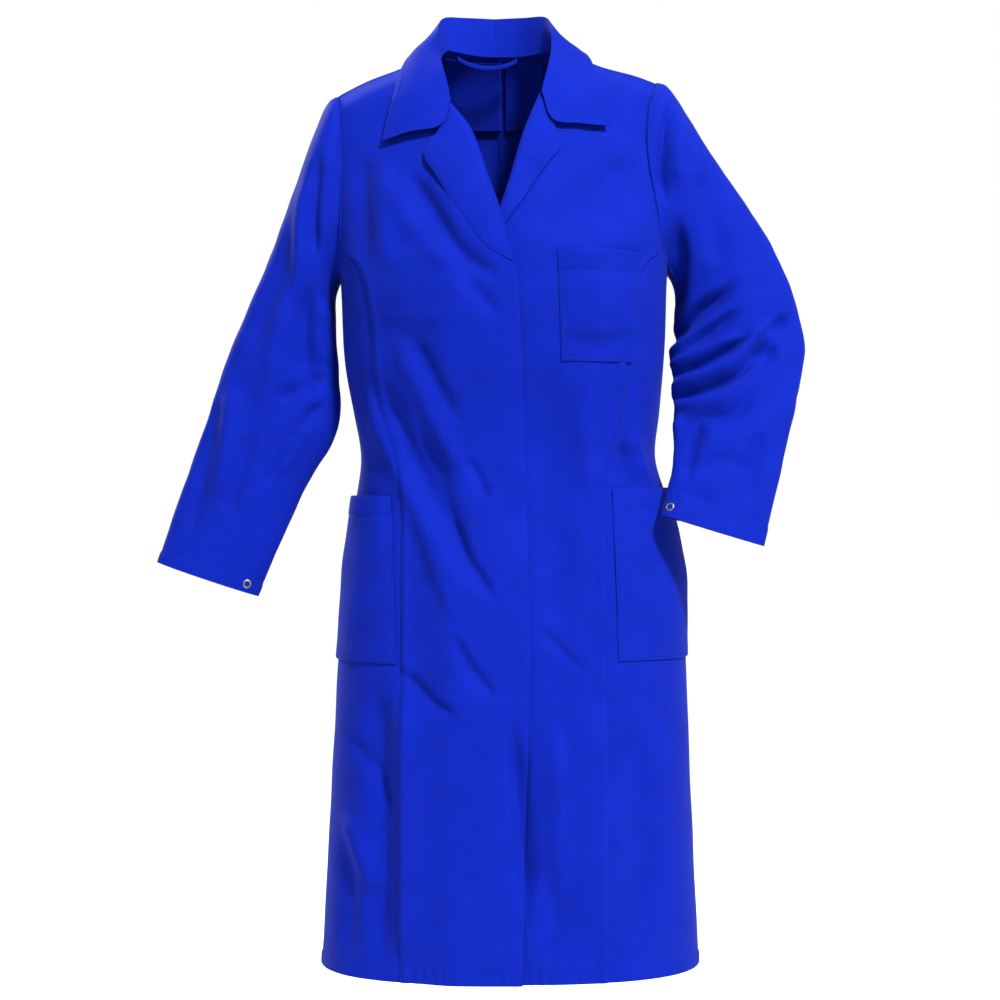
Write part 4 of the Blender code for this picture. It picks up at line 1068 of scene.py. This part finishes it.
def make_lapel(side):
    word = WORD[side]
    lift, outer = LAPEL[side]
    edge = smooth_path([(x, z, 0) for x, z in outer])
    fold_top, fold_end = ROLL_LINE[side][0][0], ROLL_LINE[side][-1][0]
    s, t = grid(0.05, 0.20, 0.0022)
    fold_z = mix(fold_top - 0.001, fold_end + 0.002, t)
    fold = stack(front_edge(side, fold_z), fold_z, 0)
    flat = mix(fold, edge(t), (0.97 * s)[..., None] + 0.03)
    x, z = flat[..., 0], flat[..., 1]
    rise = mix(LAPEL_TOP_LIFT, lift, ease(-0.10, -0.18, z)) if side == RIGHT else np.full(z.shape, lift)
    rise = rise * mix(0.45, 1.0, ease(0.0, 0.10, s)) + 0.0022 * np.sin(math.pi * s) * np.sin(math.pi * t)
    rise -= 0.0010 * ease(0.93, 1.0, s)
    rise += 0.0004 * bell(s - 0.88, 0.03)
    if side == LEFT:
        rise += np.minimum(front_field(x, z), 0.0)
    points = on_front(x, z, rise)
    make_sheet(f"lapel_{word}", (0.080, 0.20), points, LAPEL_CUT[side], thickness=0.0013)


def make_fly():
    top = RIGHT_EDGE[0][0] - 0.004
    s, t = grid(FLY_WIDTH, 0.76, 0.006)
    z = mix(top, HEM_Z + 0.004, t)
    for side, name, first, last, lift, width in (
        (RIGHT, "fly_strip", -0.004, -FLY_WIDTH, FLY_STRIP_LIFT, FLY_WIDTH),
        (LEFT, "facing_left", 0.001, FACING_WIDTH, FACING_LIFT, FACING_WIDTH),
    ):
        edge = front_edge(side, z)
        x = mix(edge + first, edge + last, s)
        points = on_front(x, z, lift + np.minimum(front_field(x, z), 0.0))
        make_sheet(name, (width, 0.77), points, nodes=(f"{name}_upper", f"{name}_lower"),
                   move=front_blend(side), thickness=0.0006)


def make_neck_facing():
    s, t = grid(0.116, 0.075, 0.004)
    x, z = mix(-0.068, 0.048, s), mix(-0.006, -0.080, t)
    points = on_back(x, z, NECK_FACING_LIFT + 0 * x)
    make_sheet("back_neck_facing", (0.125, 0.095), points, thickness=0.0006)


def collar_lines(side):
    """A half collar's neck seam, fold and outer edge, each from the centre back, and its front end."""
    gorge_z = ROLL_LINE[side][0][0]
    neck_x = abs(NECK_SIDE[side][0][1])
    seam = [on_back(mix(NECK_CENTRE_X, side * neck_x * 0.97, t), -0.001) for t in (0.0, 0.35, 0.7, 0.92)]
    seam += [on_front(front_edge(side, z), z) for z in (-0.020, -0.045, gorge_z)]
    if side == RIGHT:
        fold = [(-0.0100, 0.0080, 0.0434), (-0.0440, 0.0010, 0.0435), (-0.0675, -0.0190, 0.0390),
                (-0.0742, -0.0500, 0.0185), on_front(-0.0706, -0.0137, 0.009),
                on_front(-0.0640, -0.0430, 0.008), on_front(-0.0560, gorge_z, COLLAR_LIFT)]
        edge = [on_back(NECK_CENTRE_X, -0.036, COLLAR_LIFT), on_back(-0.060, -0.036, COLLAR_LIFT),
                on_back(-0.095, -0.034, COLLAR_LIFT), (-0.1110, -0.0420, -0.0140),
                on_front(-0.1210, -0.0670, COLLAR_LIFT), on_front(-0.1318, -0.1214, COLLAR_LIFT)]
        end = [fold[-1], on_front(-0.0664, -0.1075, COLLAR_LIFT), on_front(-0.1008, -0.1135, COLLAR_LIFT),
               edge[-1]]
    else:
        fold = [(-0.0100, 0.0080, 0.0434), (0.0240, 0.0010, 0.0435), (0.0480, -0.0190, 0.0400),
                (0.0550, -0.0500, 0.0205), on_front(0.0530, -0.0100, 0.006), on_front(0.0490, -0.0350, 0.006),
                on_front(0.0410, gorge_z, COLLAR_LIFT)]
        edge = [on_back(NECK_CENTRE_X, -0.036, COLLAR_LIFT), on_back(0.045, -0.036, COLLAR_LIFT),
                on_back(0.078, -0.032, COLLAR_LIFT), (0.0960, -0.0420, -0.0085),
                on_front(0.1060, -0.0560, COLLAR_LIFT), on_front(0.1150, -0.1050, COLLAR_LIFT)]
        end = [fold[-1], on_front(0.0530, -0.1010, COLLAR_LIFT), on_front(0.0840, -0.1040, COLLAR_LIFT),
               edge[-1]]
    return smooth_path(seam), smooth_path(fold), smooth_path(edge), smooth_path(end)


def collar_fall(side, s, t, lift):
    """A point on the part of the collar that falls outside. s goes from the centre back, t from the fold."""
    _, fold, edge, end = collar_lines(side)
    straight = mix(fold(s), edge(s), t[..., None])
    front = mix(fold(np.ones(s.shape)), edge(np.ones(s.shape)), t[..., None])
    point = straight + (end(t) - front) * (s**4)[..., None]
    out = unit(point - np.array((NECK_CENTRE_X, -0.045, -0.05)))
    bulge = lift + 0.004 * np.sin(math.pi * t) * (1 - s**4)
    return point + out * bulge[..., None]


def collar_core(points):
    return np.broadcast_to(np.array((NECK_CENTRE_X, -0.045, -0.06)), points.shape)


def make_collar():
    """The collar's top cloth: up the stand inside the neck, round the fold, and down outside."""
    s, t = np.meshgrid(np.linspace(-1, 1, 221), np.linspace(0, 1, 45))
    fall = {side: collar_fall(side, np.abs(s), t, 0.0 * t) for side in (RIGHT, LEFT)}
    points = np.where((s < 0)[..., None], fall[RIGHT], fall[LEFT])
    lift = 0.0007 * np.sin(math.pi * np.clip(t * 1.1, 0, 1)) - 0.0009 * ease(0.95, 1.0, t)
    lift += 0.0004 * bell(t - 0.90, 0.02)
    lift += ripple(s * 0.22, t * 0.06, 0.0007, 0.06, 31)
    make_sheet("collar_top", (0.48, 0.085), points, core=collar_core(points), nodes=("collar_upper",),
               lift=lift, thickness=0.0011)
    for side, word in WORD.items():
        s, t = np.meshgrid(np.linspace(0.004, 0.985, 90), np.linspace(0.06, 0.97, 24))
        points = collar_fall(side, s, t, np.full(s.shape, -0.0026))
        make_sheet(f"collar_under_{word}", (0.24, 0.070), points, core=collar_core(points), thickness=0.0007)
        seam, fold, _, _ = collar_lines(side)
        s, t = np.meshgrid(np.linspace(0.0, 0.955, 90), np.linspace(0, 1, 22))
        points = mix(seam(s) - np.array((0, 0, 0.002)), fold(s) - np.array((0, 0, 0.0010)), t[..., None])
        inward = unit(points - stack(NECK_CENTRE_X, -0.045, points[..., 2]))
        points = points - inward * (0.0006 * ease(1.0, 0.7, t) + 0.0004)[..., None]
        core = stack(NECK_CENTRE_X + 0 * s, -0.045, points[..., 2])
        make_sheet(f"collar_stand_{word}", (0.20, 0.030), points, core=core, thickness=0.0008)


def pocket_rise(s, t, gape):
    """How far a patch pocket stands off what it is sewn to: least along its seams, and most at its mouth."""
    seam = ease(0.0, 0.16, s) * ease(1.0, 0.84, s)
    return 0.0010 + gape * seam * (1 - t) ** 0.8


def pocket_lift(s, t, width, height):
    """A patch pocket's turned edges, its topstitching and the doubled hem at its mouth."""
    edge = np.minimum(np.minimum(s, 1 - s) * width, (1 - t) * height)
    lift = -0.0007 * bell(edge, 0.0012) - 0.0005 * bell(edge - POCKET_STITCH, 0.0012)
    mouth = t * height
    return lift + hem_lift(mouth, POCKET_HEM) - 0.0006 * bell(mouth, 0.0012)


def pocket_stitches(name, points, width, height):
    """Two rows of stitches down the sides and along the foot, and one below the mouth's hem."""
    out = directions(points, body_core(points), False)
    rows, columns = points.shape[:2]
    inset = max(int(round(POCKET_STITCH / width * (columns - 1))), 1)
    low = rows - 1 - max(int(round(POCKET_STITCH / height * (rows - 1))), 1)
    mouth = int(round(POCKET_HEM / height * (rows - 1)))
    edge, edge_out = (
        np.concatenate((values[:low, inset], values[low, inset:-inset], values[:low, -1 - inset][::-1]))
        for values in (points, out)
    )
    stitches(f"{name}_edge_stitches", edge, edge_out)
    stitches(f"{name}_mouth_stitches", points[mouth, 1:-1], out[mouth, 1:-1])


def make_pockets():
    s, t = grid(*CHEST_POCKET_SIZE, 0.0018)
    z = mix(*CHEST_POCKET_Z, t)
    x = mix(mix(*CHEST_POCKET_FIRST_X, t), CHEST_POCKET_LAST_X, s)
    lift = pocket_lift(s, t, *CHEST_POCKET_SIZE) + front_field(x, z) + ripple(x, z, 0.0006, 0.05, 41)
    # pressed down where it passes the princess seam
    lift -= 0.0012 * ease(-0.002, 0.005, x - front_reach(LEFT, z))
    points = on_front(x, z, pocket_rise(s, t, 0.0020) + 0.0009 + lift)
    make_sheet("chest_pocket", (0.105, 0.150), points)
    pocket_stitches("chest_pocket", points, *CHEST_POCKET_SIZE)
    rows, columns = points.shape[:2]
    row, column = int(PEN_BAR[1] * (rows - 1)), int(PEN_BAR[0] * (columns - 1))
    out = directions(points, body_core(points), False)
    bar, bar_out = points[row, column:][:6], out[row, column:][:6]
    stitches("chest_pocket_bar_stitches", bar, bar_out, pitch=0.0014, radius=0.0005)
    for side, word in WORD.items():
        s, t = grid(0.11, 0.19, 0.0022)
        z = mix(*HIP_POCKET_Z[side], t)
        first = front_turn(side * mix(*HIP_POCKET_X[side], t), z)
        turn = mix(first, side * HIP_POCKET_BACK, s)
        x = skin(turn, z)[..., 0]
        lift = pocket_lift(s, t, *HIP_POCKET_SIZE)
        lift += front_field(x, z) * ease(0.30, 0.05, s) + ripple(s * 0.11, z, 0.0010, 0.06, 43 + side)
        points = lifted(turn, z, pocket_rise(s, t, 0.0040) + 0.0012 + lift)
        make_sheet(f"hip_pocket_{word}", HIP_POCKET_CUT[side], points)
        pocket_stitches(f"hip_pocket_{word}", points, *HIP_POCKET_SIZE)


def make_cuff_underlap(side):
    word = WORD[side]
    last = len(SLEEVE[side]) - 1.0
    station = float(np.linalg.norm(np.array(SLEEVE[side][-1][1]) - np.array(SLEEVE[side][-2][1])))
    s, t = np.meshgrid(np.linspace(0, 1, 16), np.linspace(0, 1, 22))
    up = mix(0.001, 0.045, t)
    turn = CUFF_SNAP_TURN[side] + mix(-math.radians(18), math.radians(18), s)
    points = sleeve_ring(side, last - up / station, turn)
    ends = sleeve_ring(side, np.full(2, last - 0.1), np.array((0.0, math.pi)))
    core = np.broadcast_to(ends.mean(axis=0), points.shape)
    points = points - directions(points, core, False) * 0.0064
    make_sheet(f"cuff_{word}_underlap", (0.026, 0.045), points, core=core,
               move=rides(f"{word}_forearm"), thickness=0.0006)


def make_hanging_loop():
    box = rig.box("hanging_loop")
    s, t = np.meshgrid(np.linspace(0, 1, 60), np.linspace(0, 1, 17))
    across = 2 * s - 1
    pivot = JOINTS["hanging_loop_flip"]
    pivot_x, pivot_y, pivot_z = pivot["pos_m"]
    half = (box[1][0] - box[0][0]) / 2
    tape = 0.0055
    sag = pivot_z - box[0][2] - tape
    fold = 2 * math.pi * (t - 0.5) * 0.93
    x = pivot_x - OFFSET + half * across
    y = pivot_y + pivot["axis"][1] / pivot["axis"][0] * half * across
    z = pivot_z - sag * (1 - across**2)**0.8
    points = stack(x, y + 0.0008 * np.sin(fold), z - tape * (1 + np.cos(fold)) / 2)
    make_sheet("hanging_loop", (2 * half, 2 * tape), points, core=stack(x, y, z - tape / 2),
               move=rides("loop"), thickness=0.0004)


def dress_metal():
    for name, obj in frame["nodes"].items():
        if any(word in name for word in ("stud", "socket", "ring")) and "stand" not in name:
            obj.data.materials.clear()
            obj.data.materials.append(METAL)


def hem_stitches():
    for side, word in WORD.items():
        x = np.linspace(side * (HINGE_X - 0.004), float(front_edge(side, HEM_Z)) + side * 0.004, 120)
        z = np.full(x.shape, HEM_Z + HEM_WIDTH)
        path = on_front(x, z, front_lift(side, x, z) + front_field(x, z) + 0.0001)
        stitches(f"front_{word}_hem_stitches", path, outward(front_turn(x, z), z), front_blend(side))
    for side, word in WORD.items():
        x = np.linspace(side * 0.002, side * 0.130, 100)
        z = np.full(x.shape, HEM_Z + HEM_WIDTH)
        path = on_back(x, z, back_field(x, z) + 0.0001)
        stitches(f"back_{word}_hem_stitches", path, outward(back_turn(x, z), z))


# ---- the studio ----

def make_studio():
    scene = bpy.context.scene
    scene.view_settings.view_transform = "Standard"
    world = bpy.data.worlds.new("studio")
    world.use_nodes = True
    background = world.node_tree.nodes["Background"]
    background.inputs["Color"].default_value = (1, 1, 1, 1)
    background.inputs["Strength"].default_value = WORLD_LIGHT
    scene.world = world
    camera = bpy.data.objects.new("camera", bpy.data.cameras.new("camera"))
    camera.data.lens = CAMERA_LENS
    camera.data.sensor_width = 36.0
    camera.location = CAMERA_PLACE
    camera.rotation_euler = (math.pi / 2, 0, 0)
    scene.collection.objects.link(camera)
    scene.camera = camera
    for name, place, aim, power, size in LAMPS:
        light = bpy.data.lights.new(name, "AREA")
        light.energy, light.size, light.spread = power, size, BEAM
        lamp = bpy.data.objects.new(name, light)
        lamp.location = place
        way = np.array(aim) - np.array(place)
        lamp.rotation_euler = Vector(way.tolist()).to_track_quat("-Z", "Y").to_euler()
        scene.collection.objects.link(lamp)
    mesh = bpy.data.meshes.new("floor")
    corners = [(x * FLOOR_REACH, y * FLOOR_REACH, FLOOR_Z) for x, y in ((-1, -1), (1, -1), (1, 1), (-1, 1))]
    mesh.from_pydata(corners, [], [(0, 1, 2, 3)])
    floor = bpy.data.objects.new("floor", mesh)
    pale, _, shader = new_material("pale_floor")
    for key, value in (("Base Color", (0.92, 0.92, 0.92, 1)), ("Roughness", 0.9),
                       ("Emission Color", (1, 1, 1, 1)), ("Emission Strength", 0.15)):
        shader.inputs[key].default_value = value
    mesh.materials.append(pale)
    scene.collection.objects.link(floor)
    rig.stage(floor)


make_studio()
dress_metal()
for side in (RIGHT, LEFT):
    make_front(side)
    make_side(side)
    make_back(side)
    make_sleeve(side)
    make_lapel(side)
    make_cuff_underlap(side)
make_fly()
make_neck_facing()
make_collar()
make_pockets()
make_hanging_loop()
hem_stitches()

with open("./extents.json", "w") as size_file:
    json.dump({"cad": [list(map(float, c)) for c in cad_bounds],
               "visual": [list(map(float, c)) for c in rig.bounds()]}, size_file)
